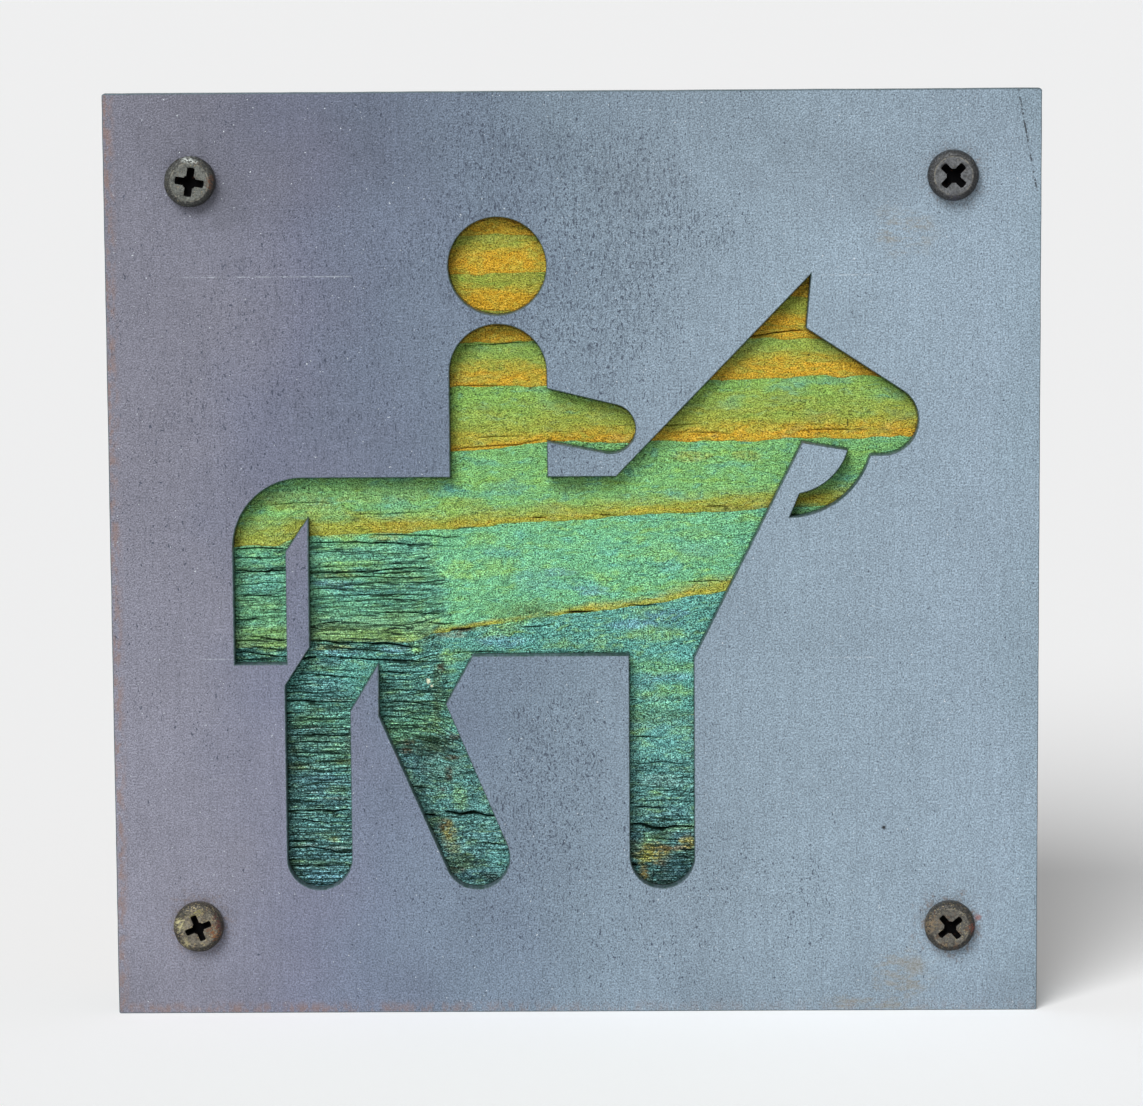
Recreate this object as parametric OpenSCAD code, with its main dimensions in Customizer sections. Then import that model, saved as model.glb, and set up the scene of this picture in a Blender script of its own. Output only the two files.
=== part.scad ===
// Wall sign: a pierced steel face plate screwed to a wooden backing board.
// Millimetres. X runs right as the sign is seen from the front, Y into the wall, Z up.
// The origin is the middle of the board's back, the face that lies on the wall.

/* [Face plate] */
// Width of the steel plate
plate_w = 150; // [144:1:180]
// Height of the steel plate
plate_h = 150; // [144:1:180]
// Thickness of the steel plate
plate_t = 3; // [2:0.5:4]

/* [Backing board] */
// How far the board's edge stays behind the plate's edge
board_inset = 4.5; // [2:0.5:7]
// Thickness of the board
board_t = 10; // [9:0.5:15]
// Rounding of the board's four upright corners
board_corner_r = 1; // [0.5:0.5:3]

/* [Rider] */
// Diameter of the rider's head
head_d = 15.8; // [14:0.1:17]
// Strip of steel left between the head and the shoulders
neck_gap = 1.4; // [1:0.1:3]
// Middle of the rider, from the plate's middle
rider_x = -12.1; // [-16:0.1:-8]
// Width of the rider's trunk
trunk_w = 15.7; // [14:0.1:17]
// Height of the shoulders' crown, from the plate's middle
shoulder_z = 37.8; // [36:0.1:39]
// Top of the arm where it leaves the trunk
arm_top_z = 27.4; // [26:0.1:29]
// Underside of the arm where it leaves the trunk
arm_under_z = 18.7; // [18:0.1:22]
// Width of the hand, which is round
hand_d = 8; // [6:0.1:8.6]
// Middle of the hand, from the plate's middle
hand_x = 6; // [4:0.1:7]
// Height of the hand's middle
hand_z = 20.8; // [20:0.1:22]

/* [Horse trunk] */
// Height of the back line
back_z = 13.1; // [12:0.1:14]
// Height of the belly line
belly_z = -16.1; // [-18:0.1:-14]
// Radius of the rump
rump_r = 11.4; // [9:0.1:11.9]
// Left end of the belly line, where the second hind leg begins
flank_x = -16.6; // [-18:0.1:-14]
// Foot of the neck on the back line
withers_x = 6.8; // [5:0.1:10]
// Height at which the chest line meets the front leg
chest_z = -16.6; // [-19:0.1:-16.5]

/* [Horse head] */
// Tip of the ear, to the right of the plate's middle
ear_tip_x = 38.2; // [37:0.1:39]
// Tip of the ear, above the plate's middle
ear_tip_z = 45.6; // [43:0.1:47]
// Foot of the ear on the forehead, to the right
ear_root_x = 37.4; // [36.5:0.1:38]
// Foot of the ear on the forehead, above
ear_root_z = 36.9; // [35:0.1:38]
// Middle of the round muzzle, to the right
muzzle_x = 49.8; // [48:0.1:51]
// Middle of the round muzzle, above
muzzle_z = 22; // [21:0.1:23]
// Radius of the muzzle
muzzle_r = 5.7; // [5:0.1:6.2]
// Corner between jaw and throat, to the right
jaw_x = 36.8; // [36:0.1:38]
// Corner between jaw and throat, above
jaw_z = 18.4; // [17.5:0.1:19]
// End of the jaw line, at the rein, to the right
chin_x = 44.5; // [44:0.1:45]
// End of the jaw line, at the rein, above
chin_z = 17.1; // [16.5:0.1:17.4]

/* [Rein] */
// Middle of the rein's curve, to the right
rein_x = 34.6; // [34:0.1:35]
// Middle of the rein's curve, above
rein_z = 19.9; // [19.5:0.1:20.5]
// Outer radius of the rein
rein_r = 13.6; // [13:0.1:14]
// Width of the rein
rein_w = 3.7; // [3:0.1:4]
// Slope of the rein's cut end, from the level
rein_end_slope = 67; // [60:1:75]
// Foot of the rein's cut end, to the right
rein_end_x = 34.7; // [34:0.1:36]

/* [Legs and tail] */
// Height of the soles
sole_z = -54.5; // [-57:0.1:-52]
// Width of each leg, whose foot is round
leg_w = 10.5; // [9:0.1:11]
// Middle of the front leg
front_leg_x = 14; // [13:0.1:15]
// Middle of the foot of the second hind leg
second_foot_x = -16.1; // [-18:0.1:-14]
// Middle of the first hind leg
hind_leg_x = -41.8; // [-42.5:0.1:-41]
// Front corner of the second hind leg's knee, to the right
knee_x = -21; // [-22:0.1:-20]
// Height of that knee corner
knee_z = -24; // [-25:0.1:-22]
// Upright edge behind the second hind leg
groin_x = -31.9; // [-33:0.1:-31]
// Top of the steel point between the hind legs
groin_z = -17.4; // [-19:0.1:-16.5]
// Lower end of that upright edge
stifle_z = -25.9; // [-27:0.1:-24]
// Height at which the first hind leg's front edge begins
shank_z = -25.1; // [-27:0.1:-24]
// Lower corner of the first hind leg's hock
hock_low_z = -20.8; // [-22:0.1:-19]
// Upper corner of the first hind leg's hock
hock_high_z = -14.5; // [-16:0.1:-13]
// Outer edge of the tail
tail_x = -55.2; // [-57:0.1:-54.5]
// Width of the tail
tail_w = 8.5; // [7:0.1:9.5]
// Lower end of the tail
tail_end_z = -17.3; // [-20:0.1:-14]
// Width of the steel strip between the tail and the thigh
dock_w = 3.7; // [3:0.1:4.5]
// Top of that strip
dock_z = 6.5; // [5:0.1:7]
// Drop of the strip's slanted top
dock_drop = 5.4; // [4:0.1:7]

/* [Face screws] */
// Distance of each screw's mark from the plate's side edges
screw_inset_x = 14; // [10:0.5:16]
// Distance of each screw's mark from the plate's upper and lower edges
screw_inset_z = 14; // [10:0.5:16]
// Thread diameter of the screws
screw_d = 4.2; // [3.5:0.1:4.8]
// Length of the screws under the head
screw_l = 9.5; // [8:0.5:11]
// Diameter of the pan heads
pan_d = 8.2; // [7.8:0.1:9.5]
// Height of the pan heads
pan_h = 2.6; // [2.2:0.1:3]
// Rounding of the pan heads' rim
pan_edge_r = 1; // [0.5:0.1:1.4]
// Width across the cross recess
recess_w = 4.7; // [4:0.1:5]
// Width of each wing of the recess
recess_wing = 1.2; // [1:0.1:1.5]
// Depth of the recess
recess_depth = 1.7; // [1:0.1:1.9]
// Gap between a screw and the hole in the steel, across
plate_hole_clearance = 0.5; // [0.3:0.1:1]

/* [Hangers] */
// Distance between the middles of the two hanger plates
hanger_spacing = 76; // [60:1:90]
// Drop of the hanger plates' middles below the sign's upper edge
hanger_drop = 33; // [31:1:45]
// Length of a hanger plate
hanger_l = 46; // [44:1:50]
// Width of a hanger plate, whose ends are round
hanger_w = 16; // [14:0.5:18]
// Thickness of a hanger plate
hanger_t = 1.5; // [1:0.1:2]
// Diameter of the round entry of the keyhole
keyhole_d = 9; // [7:0.5:10]
// Width of the keyhole's slot
keyhole_slot_w = 4.6; // [4:0.1:5.4]
// Rise from the entry's middle to the slot's upper end
keyhole_rise = 9; // [7:0.5:10]
// Drop of the entry's middle below the hanger plate's middle
keyhole_drop = 4.5; // [3:0.5:6]
// Depth of the hollow for the wall screw's head, behind the hanger plate
head_room = 5; // [3.5:0.5:5.5]
// Space round the wall screw's head in that hollow, on each side
head_room_side = 0.6; // [0.3:0.1:1]

/* [Hanger screws] */
// Distance of each screw from its end of the hanger plate
hanger_screw_inset = 5.5; // [4:0.5:6]
// Thread diameter of the hanger screws
small_screw_d = 2.9; // [2.5:0.1:3.2]
// Diameter of their countersunk heads
small_head_d = 5.6; // [5:0.1:6]
// Length of these screws, head included
small_screw_l = 8; // [7:0.5:8.5]
// Width of each wing of their cross recess
small_wing = 0.9; // [0.7:0.1:1]
// Width across their cross recess
small_recess_w = 2.9; // [2.4:0.1:3.2]
// Depth of their cross recess
small_recess_depth = 1; // [0.8:0.1:1.2]

/* [Fits] */
// Gap between a screw and its hole in the wood, across
wood_hole_clearance = 0.1; // [0.1:0.1:0.4]
// Room left in the wood beyond the point of a screw
tip_room = 0.5; // [0.3:0.1:0.8]
// Gap round a hanger plate in its pocket, on each side
pocket_clearance = 0.2; // [0.1:0.1:0.5]

/* [Hidden] */
$fn = 96;

// How far a cut runs past the face it opens
past = 1;
// How far a slanted edge runs into the round that it meets
bite = 0.02;
// Distance of the plate's front and of its back from the wall
plate_front_y = board_t + plate_t;
plate_back_y = board_t;
board_w = plate_w - 2 * board_inset;
board_h = plate_h - 2 * board_inset;

// The plate was drilled by hand: how far each hole lies from its mark, right and up
drift_top_left = [0, 0];
drift_top_right = [-0.2, 0.3];
drift_bottom_left = [-0.6, 0.7];
drift_bottom_right = [-0.3, 0.3];
// How far each screw is turned, anticlockwise from an upright cross
turn_top_left = -9;
turn_top_right = 46;
turn_bottom_left = 22;
turn_bottom_right = 40;

mark_x = plate_w / 2 - screw_inset_x;
mark_z = plate_h / 2 - screw_inset_z;
top_left = [-mark_x, mark_z] + drift_top_left;
top_right = [mark_x, mark_z] + drift_top_right;
bottom_left = [-mark_x, -mark_z] + drift_bottom_left;
bottom_right = [mark_x, -mark_z] + drift_bottom_right;
face_screw_places = [top_left, top_right, bottom_left, bottom_right];

hanger_z = plate_h / 2 - hanger_drop;
hanger_places = [[-hanger_spacing / 2, hanger_z], [hanger_spacing / 2, hanger_z]];
hanger_screw_rise = hanger_l / 2 - hanger_screw_inset;
keyhole_entry_z = -keyhole_drop;
keyhole_end_z = keyhole_rise - keyhole_drop;

trunk_r = trunk_w / 2;
hand_r = hand_d / 2;
leg_r = leg_w / 2;
foot_z = sole_z + leg_r;
tail_inner_x = tail_x + tail_w;
thigh_x = tail_inner_x + dock_w;

// End of a line from p that runs into a circle nearly along its rim, passing the middle on its left
// or, with side -1, on its right
function touch(p, middle, r, side) =
    let (
        reach = middle - p,
        rim = r - bite,
        bearing = atan2(reach.y, reach.x) + side * asin(rim / norm(reach)),
        run = sqrt(norm(reach) * norm(reach) - rim * rim)
    )
    p + run * [cos(bearing), sin(bearing)];

// The horse's outline between its round parts, clockwise from the rump
module horse_outline() {
    muzzle = [muzzle_x, muzzle_z];
    second_foot = [second_foot_x, foot_z];
    ear_root = [ear_root_x, ear_root_z];
    knee = [knee_x, knee_z];
    stifle = [groin_x, stifle_z];
    polygon([
        [tail_x + rump_r, back_z],
        [withers_x, back_z],
        [ear_tip_x, ear_tip_z],
        ear_root,
        touch(ear_root, muzzle, muzzle_r, 1),
        [muzzle_x, muzzle_z - muzzle_r],
        [rein_x + rein_r - 0.5, muzzle_z - muzzle_r],
        [chin_x, chin_z],
        [jaw_x, jaw_z],
        [front_leg_x + leg_r, chest_z],
        [front_leg_x + leg_r, foot_z],
        [front_leg_x - leg_r, foot_z],
        [front_leg_x - leg_r, belly_z],
        [flank_x, belly_z],
        knee,
        touch(knee, second_foot, leg_r, 1),
        touch(stifle, second_foot, leg_r, -1),
        stifle,
        [groin_x, groin_z],
        [hind_leg_x + leg_r, shank_z],
        [hind_leg_x + leg_r, foot_z],
        [hind_leg_x - leg_r, foot_z],
        [hind_leg_x - leg_r, hock_low_z],
        [thigh_x, hock_high_z],
        [thigh_x, dock_z],
        [tail_inner_x, dock_z - dock_drop],
        [tail_inner_x, tail_end_z],
        [tail_x, tail_end_z],
        [tail_x, back_z - rump_r]
    ]);
}

// The round of the rump, outside the straight line that joins its two ends
module rump() {
    intersection() {
        translate([tail_x + rump_r, back_z - rump_r]) circle(rump_r);
        polygon([[tail_x, back_z - rump_r], [tail_x, back_z], [tail_x + rump_r, back_z]]);
    }
}

module feet() {
    for (x = [front_leg_x, second_foot_x, hind_leg_x])
        translate([x, foot_z]) circle(leg_r);
}

// A curved band from the chin, cut off square at its lower end
module rein() {
    drop = rein_z - rein_r;
    lean = rein_r / tan(rein_end_slope);
    intersection() {
        translate([rein_x, rein_z])
            difference() {
                circle(rein_r);
                circle(rein_r - rein_w);
            }
        polygon([
            [rein_end_x - past / tan(rein_end_slope), drop - past],
            [rein_end_x + lean, drop + rein_r],
            [chin_x, chin_z],
            [rein_x + rein_r + past, muzzle_z - muzzle_r + past],
            [rein_x + rein_r + past, drop - past]
        ]);
    }
}

module rider() {
    trunk_side = rider_x + trunk_r;
    arm_top = [trunk_side, arm_top_z];
    arm_under = [trunk_side, arm_under_z];
    hand = [hand_x, hand_z];
    translate([rider_x - trunk_r, back_z - past])
        square([trunk_w, shoulder_z - trunk_r - back_z + past]);
    translate([rider_x, shoulder_z - trunk_r]) circle(trunk_r);
    polygon([
        [rider_x, arm_top_z],
        arm_top,
        touch(arm_top, hand, hand_r, 1),
        touch(arm_under, hand, hand_r, -1),
        arm_under,
        [rider_x, arm_under_z]
    ]);
    translate(hand) circle(hand_r);
    translate([rider_x, shoulder_z + neck_gap + head_d / 2]) circle(head_d / 2);
}

module pictogram() {
    horse_outline();
    rump();
    feet();
    rein();
    translate([muzzle_x, muzzle_z]) circle(muzzle_r);
    rider();
}

// Stands a flat outline upright, with its back at the given distance from the wall
module upright(from_wall, depth) {
    translate([0, -from_wall, 0])
        rotate([90, 0, 0])
            linear_extrude(height = depth)
                children();
}

// Points a piece that was drawn along +Z away from the wall
module facing_front(place, from_wall, turn = 0) {
    translate([place.x, -from_wall, place.y])
        rotate([90, 0, 0])
            rotate([0, 0, turn])
                children();
}

// Points a piece that was drawn along +Z towards the wall
module facing_wall(place, from_wall = 0) {
    translate([place.x, -from_wall, place.y])
        rotate([-90, 0, 0])
            children();
}

// A bar with two round ends, from one height to another
module slot_outline(width, low, high) {
    translate([-width / 2, low]) square([width, high - low]);
    translate([0, low]) circle(d = width);
    translate([0, high]) circle(d = width);
}

// A cross recess with tapered wings, opening upwards at the origin
module cross_recess(width, wing, depth) {
    core_d = wing * 1.9;
    translate([0, 0, -depth])
        intersection() {
            cylinder(h = depth + past, d1 = width * 0.55, d2 = width * (1 + 0.45 * past / depth));
            union() {
                translate([-width, -wing / 2, 0]) cube([2 * width, wing, depth + past]);
                translate([-wing / 2, -width, 0]) cube([wing, 2 * width, depth + past]);
                cylinder(h = depth + past, d = core_d);
            }
        }
}

// A pointed shank that hangs down from the origin
module shank(d, length) {
    point = d * 0.9;
    translate([0, 0, point - length]) cylinder(h = length - point, d = d);
    translate([0, 0, -length]) cylinder(h = point, d1 = d * 0.15, d2 = d);
}

module pan_head() {
    difference() {
        rotate_extrude() {
            square([pan_d / 2, pan_h - pan_edge_r]);
            square([pan_d / 2 - pan_edge_r, pan_h]);
            intersection() {
                translate([pan_d / 2 - pan_edge_r, pan_h - pan_edge_r]) circle(pan_edge_r);
                translate([pan_d / 2 - pan_edge_r, pan_h - pan_edge_r]) square(pan_edge_r);
            }
        }
        translate([0, 0, pan_h]) cross_recess(recess_w, recess_wing, recess_depth);
    }
}

module face_screw(place, turn) {
    color([0.29, 0.27, 0.24])
        facing_front(place, plate_front_y, turn) {
            pan_head();
            shank(screw_d, screw_l);
        }
}

module face_plate() {
    color([0.56, 0.60, 0.66])
        difference() {
            upright(plate_back_y, plate_t)
                difference() {
                    square([plate_w, plate_h], center = true);
                    pictogram();
                }
            for (place = face_screw_places)
                facing_front(place, plate_back_y - past)
                    cylinder(h = plate_t + 2 * past, d = screw_d + plate_hole_clearance);
        }
}

// Everything routed and drilled for one hanger plate, from the board's back
module hanger_pocket() {
    hanger_outline_w = hanger_w + 2 * pocket_clearance;
    end = (hanger_l - hanger_w) / 2;
    room_w = keyhole_d + 2 * head_room_side;
    translate([0, 0, -past])
        linear_extrude(height = hanger_t + past)
            slot_outline(hanger_outline_w, -end, end);
    linear_extrude(height = hanger_t + head_room)
        slot_outline(room_w, keyhole_entry_z, keyhole_end_z);
    for (side = [-1, 1])
        translate([0, side * hanger_screw_rise, 0])
            cylinder(h = small_screw_l + tip_room, d = small_screw_d + wood_hole_clearance);
}

module backing_board() {
    hole_d = screw_d + wood_hole_clearance;
    hole_l = screw_l - plate_t + tip_room;
    corner_x = board_w / 2 - board_corner_r;
    corner_z = board_h / 2 - board_corner_r;
    color([0.45, 0.55, 0.38])
        difference() {
            upright(0, board_t) {
                square([board_w - 2 * board_corner_r, board_h], center = true);
                square([board_w, board_h - 2 * board_corner_r], center = true);
                for (x = [-corner_x, corner_x], z = [-corner_z, corner_z])
                    translate([x, z]) circle(board_corner_r);
            }
            for (place = face_screw_places)
                facing_front(place, board_t - hole_l)
                    cylinder(h = hole_l + past, d = hole_d);
            for (place = hanger_places)
                facing_front(place, 0) hanger_pocket();
        }
}

module hanger_plate(place) {
    end = (hanger_l - hanger_w) / 2;
    color([0.74, 0.74, 0.72])
        facing_front(place, 0)
            difference() {
                linear_extrude(height = hanger_t)
                    difference() {
                        slot_outline(hanger_w, -end, end);
                        translate([0, keyhole_entry_z]) circle(d = keyhole_d);
                        slot_outline(keyhole_slot_w, keyhole_entry_z, keyhole_end_z);
                    }
                for (side = [-1, 1])
                    translate([0, side * hanger_screw_rise, 0])
                        countersink();
            }
}

// The cone under a small screw's head, and the hole that its shank goes through
module countersink() {
    hole_d = small_screw_d + wood_hole_clearance;
    depth = (small_head_d - small_screw_d) / 2;
    translate([0, 0, -past]) cylinder(h = hanger_t + 2 * past, d = hole_d);
    translate([0, 0, -past])
        cylinder(h = depth + past, d1 = small_head_d + 2 * past + wood_hole_clearance, d2 = hole_d);
}

module hanger_screw(place, side) {
    cone_h = (small_head_d - small_screw_d) / 2;
    spot = [place.x, place.y + side * hanger_screw_rise];
    color([0.70, 0.66, 0.52])
        facing_wall(spot)
            difference() {
                union() {
                    translate([0, 0, -cone_h]) cylinder(h = cone_h, d1 = small_screw_d, d2 = small_head_d);
                    shank(small_screw_d, small_screw_l);
                }
                cross_recess(small_recess_w, small_wing, small_recess_depth);
            }
}

module face_screw_top_left() {
    face_screw(top_left, turn_top_left);
}

module face_screw_top_right() {
    face_screw(top_right, turn_top_right);
}

module face_screw_bottom_left() {
    face_screw(bottom_left, turn_bottom_left);
}

module face_screw_bottom_right() {
    face_screw(bottom_right, turn_bottom_right);
}

face_plate();
backing_board();
face_screw_top_left();
face_screw_top_right();
face_screw_bottom_left();
face_screw_bottom_right();
hanger_plate(hanger_places[0]);  // hanger_plate_left
hanger_plate(hanger_places[1]);  // hanger_plate_right
hanger_screw(hanger_places[0], 1);  // hanger_screw_left_upper
hanger_screw(hanger_places[0], -1);  // hanger_screw_left_lower
hanger_screw(hanger_places[1], 1);  // hanger_screw_right_upper
hanger_screw(hanger_places[1], -1);  // hanger_screw_right_lower
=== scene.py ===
import math

import bmesh
import bpy
import numpy as np
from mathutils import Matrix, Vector


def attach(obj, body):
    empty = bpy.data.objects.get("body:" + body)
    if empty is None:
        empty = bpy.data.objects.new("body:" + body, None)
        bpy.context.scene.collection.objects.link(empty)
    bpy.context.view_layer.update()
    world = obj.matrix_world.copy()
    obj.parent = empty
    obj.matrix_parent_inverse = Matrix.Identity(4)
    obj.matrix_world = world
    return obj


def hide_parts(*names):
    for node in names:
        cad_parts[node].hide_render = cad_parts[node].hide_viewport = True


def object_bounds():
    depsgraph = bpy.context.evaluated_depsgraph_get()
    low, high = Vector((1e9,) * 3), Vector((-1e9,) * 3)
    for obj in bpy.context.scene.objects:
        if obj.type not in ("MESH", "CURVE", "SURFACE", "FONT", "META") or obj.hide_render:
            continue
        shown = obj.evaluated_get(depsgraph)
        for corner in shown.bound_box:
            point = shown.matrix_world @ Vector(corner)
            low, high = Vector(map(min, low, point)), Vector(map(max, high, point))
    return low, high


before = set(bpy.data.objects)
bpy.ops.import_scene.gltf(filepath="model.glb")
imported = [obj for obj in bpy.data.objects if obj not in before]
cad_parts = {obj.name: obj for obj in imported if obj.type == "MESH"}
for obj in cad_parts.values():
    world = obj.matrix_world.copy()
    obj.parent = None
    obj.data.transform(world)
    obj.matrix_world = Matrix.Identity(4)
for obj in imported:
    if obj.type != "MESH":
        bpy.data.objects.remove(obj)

# Sizes are in millimetres, in the frame's axes: X right, Y into the wall, Z up from the sign's middle.
MM = 0.001
cad_low, cad_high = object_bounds()

# Plate and board
PLATE = 150.0
FRONT = -13.0
JOIN = -10.0
BOARD = 141.0
BOARD_CORNER = 1.0
CUT_ROUND = 0.08
CUT_BURN = 0.05

# The figure that is cut through the plate
HEAD_R = 7.9
RIDER_X = -12.1
TRUNK_R = 7.85
SHOULDER_Z = 37.8
NECK_GAP = 1.4
ARM_TOP_Z = 27.4
ARM_UNDER_Z = 18.7
HAND = np.array([6.0, 20.8])
HAND_R = 4.0
BACK_Z = 13.1
BELLY_Z = -16.1
RUMP_R = 11.4
FLANK_X = -16.6
WITHERS_X = 6.8
CHEST_Z = -16.6
EAR_TIP = np.array([38.2, 45.6])
EAR_ROOT = np.array([37.4, 36.9])
MUZZLE = np.array([49.8, 22.0])
MUZZLE_R = 5.7
JAW = np.array([36.8, 18.4])
CHIN = np.array([44.5, 17.1])
REIN = np.array([34.6, 19.9])
REIN_R = 13.6
REIN_W = 3.7
REIN_SLOPE = 67.0
REIN_END_X = 34.7
SOLE_Z = -54.5
LEG_R = 5.25
FOOT_Z = SOLE_Z + LEG_R
FRONT_LEG_X = 14.0
SECOND_FOOT = np.array([-16.1, FOOT_Z])
HIND_LEG_X = -41.8
KNEE = np.array([-21.0, -24.0])
GROIN_X = -31.9
GROIN_Z = -17.4
STIFLE_Z = -25.9
SHANK_Z = -25.1
HOCK_LOW_Z = -20.8
HOCK_HIGH_Z = -14.5
TAIL_X = -55.2
TAIL_W = 8.5
TAIL_END_Z = -17.3
DOCK_W = 3.7
DOCK_Z = 6.5
DOCK_DROP = 5.4

# Screws through the face: place, turn of the cross
FACE_SCREWS = {
    "top_left": ((-61.0, 61.0), -9),
    "top_right": ((60.8, 61.3), 46),
    "bottom_left": ((-61.6, -60.3), 22),
    "bottom_right": ((60.7, -60.7), 40),
}
SCREW_R = 2.1
SCREW_L = 9.5
SCREW_HOLE_R = 2.35
WOOD_HOLE_R = 2.15
WOOD_HOLE_Y = -3.0

# Hangers at the back
HANGERS = {"left": -38.0, "right": 38.0}
HANGER_Z = 42.0
HANGER_L = 46.0
HANGER_R = 8.0
HANGER_T = 1.5
KEYHOLE_R = 4.5
SLOT_R = 2.3
ENTRY_Z = -4.5
SLOT_END_Z = 4.5
ROOM_R = 5.1
ROOM_Y = -6.5
POCKET_GAP = 0.2
SMALL_RISE = 17.5
SMALL_R = 1.45
SMALL_L = 8.0
PILOT_R = 1.5
PILOT_Y = -8.5

# Sizes and looks that only this script has
PLATE_CORNER = 0.35
PLATE_STEP = 2.5
PLATE_WEAR = 0.04
PLATE_RIM = 0.2
BOARD_STEP = 1.5
BOARD_ROUND = 0.6
BOARD_WEAR = 0.1
BOARD_RIM = 1.5
BOARD_SLACK = 0.02
POCKET_ROUND = 0.25
HANGER_ROUND = 0.12
HOLE_TIP = 0.6
PILOT_TIP = 0.5
# The carved part of the board's front, its steps, and how far it goes on behind the plate
VIEW_X = 57.0
VIEW_LOW = -56.1
VIEW_HIGH = 56.6
STEP_X = 0.6
STEP_Z = 0.12
HIDDEN = 1.3
# Its relief: soft waves, fibres, how much deeper those are in weathered wood, and the random cracks
WAVE_DEPTH = 0.1
FIBRE_DEPTH = 0.05
WORN_DEPTH = 0.16
CRACK_SEED = 8
CRACK_TRIES = 1700
# How far below its place on the plate's front the wood is seen: at the middle, and its change with height
SEEN_DROP = 0.41
SEEN_CHANGE = 0.0037
# Screw heads as (radius, height) rows from the flat out, and recesses: half width, half wing, core, depth
PAN_HEAD = [
    (2.95, 2.6), (3.05, 2.57), (3.12, 2.6), (3.3, 2.57), (3.55, 2.48), (3.78, 2.3), (3.96, 2.05),
    (4.06, 1.75), (4.09, 1.4), (4.09, 0.9), (4.07, 0.4), (4.0, 0.12), (3.9, 0.0),
]
PAN_NECK = 1.6
PAN_PITCH = 1.5
CROSS = (2.35, 0.6, 1.14, 1.7)
WORN_CROSSES = {"bottom_left": (2.2, 0.5, 0.98, 1.6), "bottom_right": (2.3, 0.5, 1.0, 1.6)}
SMALL_HEAD = [(2.55, 0.0), (2.72, -0.03), (2.79, -0.1), (1.55, -1.33)]
SMALL_NECK = 1.7
SMALL_PITCH = 1.1
SMALL_CROSS = (1.45, 0.45, 0.85, 1.0)
HEAD_WAVES = 0.03
NECK_STEP = 0.05
# Recesses from the worn lip down: shares of the depth and of the width, and how deep the pointed floor is
RECESS_ROWS = [(0.0, 1.1), (0.08, 1.0), (0.55, 0.84), (1.0, 0.66)]
RECESS_TIP = 1.15
# Threads: neck, root and point in radii, half a crest in pitches, rows in a pitch, and the point's shape
THREAD_NECK = 0.93
THREAD_ROOT = 0.74
THREAD_POINT = 2.2
THREAD_CREST = 0.28
THREAD_ROWS = 7
POINT_SHAPE = 0.8
# A hanger's countersunk holes: (radius, y) rows from the wall side in
SINK = [(2.95, 0), (2.86, -0.05), (PILOT_R, -1.36), (PILOT_R, -HANGER_T)]
# The face screws' looks: seed, brown, crust, the flat's colour, and worn spots: x, z, half sizes, colour
SCREW_LOOKS = {
    "top_left": (11, 0.3, 0.3, (88, 90, 86), [
        (-0.6, 3.5, 1.9, 0.7, (176, 182, 178)), (3.3, 0.4, 0.9, 1.8, (84, 56, 40)),
    ]),
    "top_right": (23, 0.1, 0.1, (86, 88, 90), [(-2.6, -2.6, 1.4, 1.4, (60, 60, 72))]),
    "bottom_left": (37, 0.6, 0.9, (98, 93, 82), [
        (-2.6, 1.8, 1.4, 1.4, (178, 172, 130)), (2.2, -1.6, 1.4, 2.0, (112, 72, 44)),
        (3.3, -0.4, 0.8, 2.6, (74, 40, 36)), (-1.6, 3.2, 1.6, 0.8, (52, 52, 44)),
        (0.4, 2.4, 1.6, 0.7, (140, 134, 84)), (-2.9, -1.6, 0.9, 1.2, (150, 142, 108)),
    ]),
    "bottom_right": (53, 0.7, 0.6, (86, 84, 78), [
        (2.6, -2.4, 1.0, 1.0, (112, 58, 44)), (-2.2, 2.6, 2.4, 1.8, (122, 106, 84)),
    ]),
}
# Screws with rust round them, and how much
RUSTY_SCREWS = [("top_right", 0.35), ("bottom_left", 0.5), ("bottom_right", 0.7)]
# Hairline scratches on the plate: x from and to, z
SCRATCHES = [
    (-63.5, -35.5, 45.6), (39.5, 49, 45.4), (-60, -53, -16.4), (39.5, 49, -16.6), (-59.5, -56, -36.2),
]
# Dark marks on the wood: x, z, half width, half height
WOOD_MARKS = [
    (44.2, 21.6, 0.22, 0.9), (37.9, 32.6, 0.4, 0.3), (46.4, 24.0, 0.4, 0.2), (-6.9, 27.4, 0.6, 0.3),
    (-4.6, 24.5, 0.4, 0.2),
]
# The studio, in metres and degrees
SEEN_RAYS = ("Is Camera Ray", "Is Glossy Ray", "Is Transmission Ray")
FLOOR_HALF = 20.0
FLOOR_TONE = 0.86
FLOOR_GLOW = 0.14
FLOOR_GLOW_TONE = (0.96, 0.98, 1.0, 1)
SKY_LIGHT = 0.2
SKY_SEEN = 0.9
SUN_POWER = 3.3
SUN_WIDTH = 34
SUN_FROM = (-0.3, -0.74, 0.6)
LENS = 156.27
CAMERA_PLACE = (0.00805, -0.80647, 0.10963)
CAMERA_TURN = (82.182, 0.384, 0.562)

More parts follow.
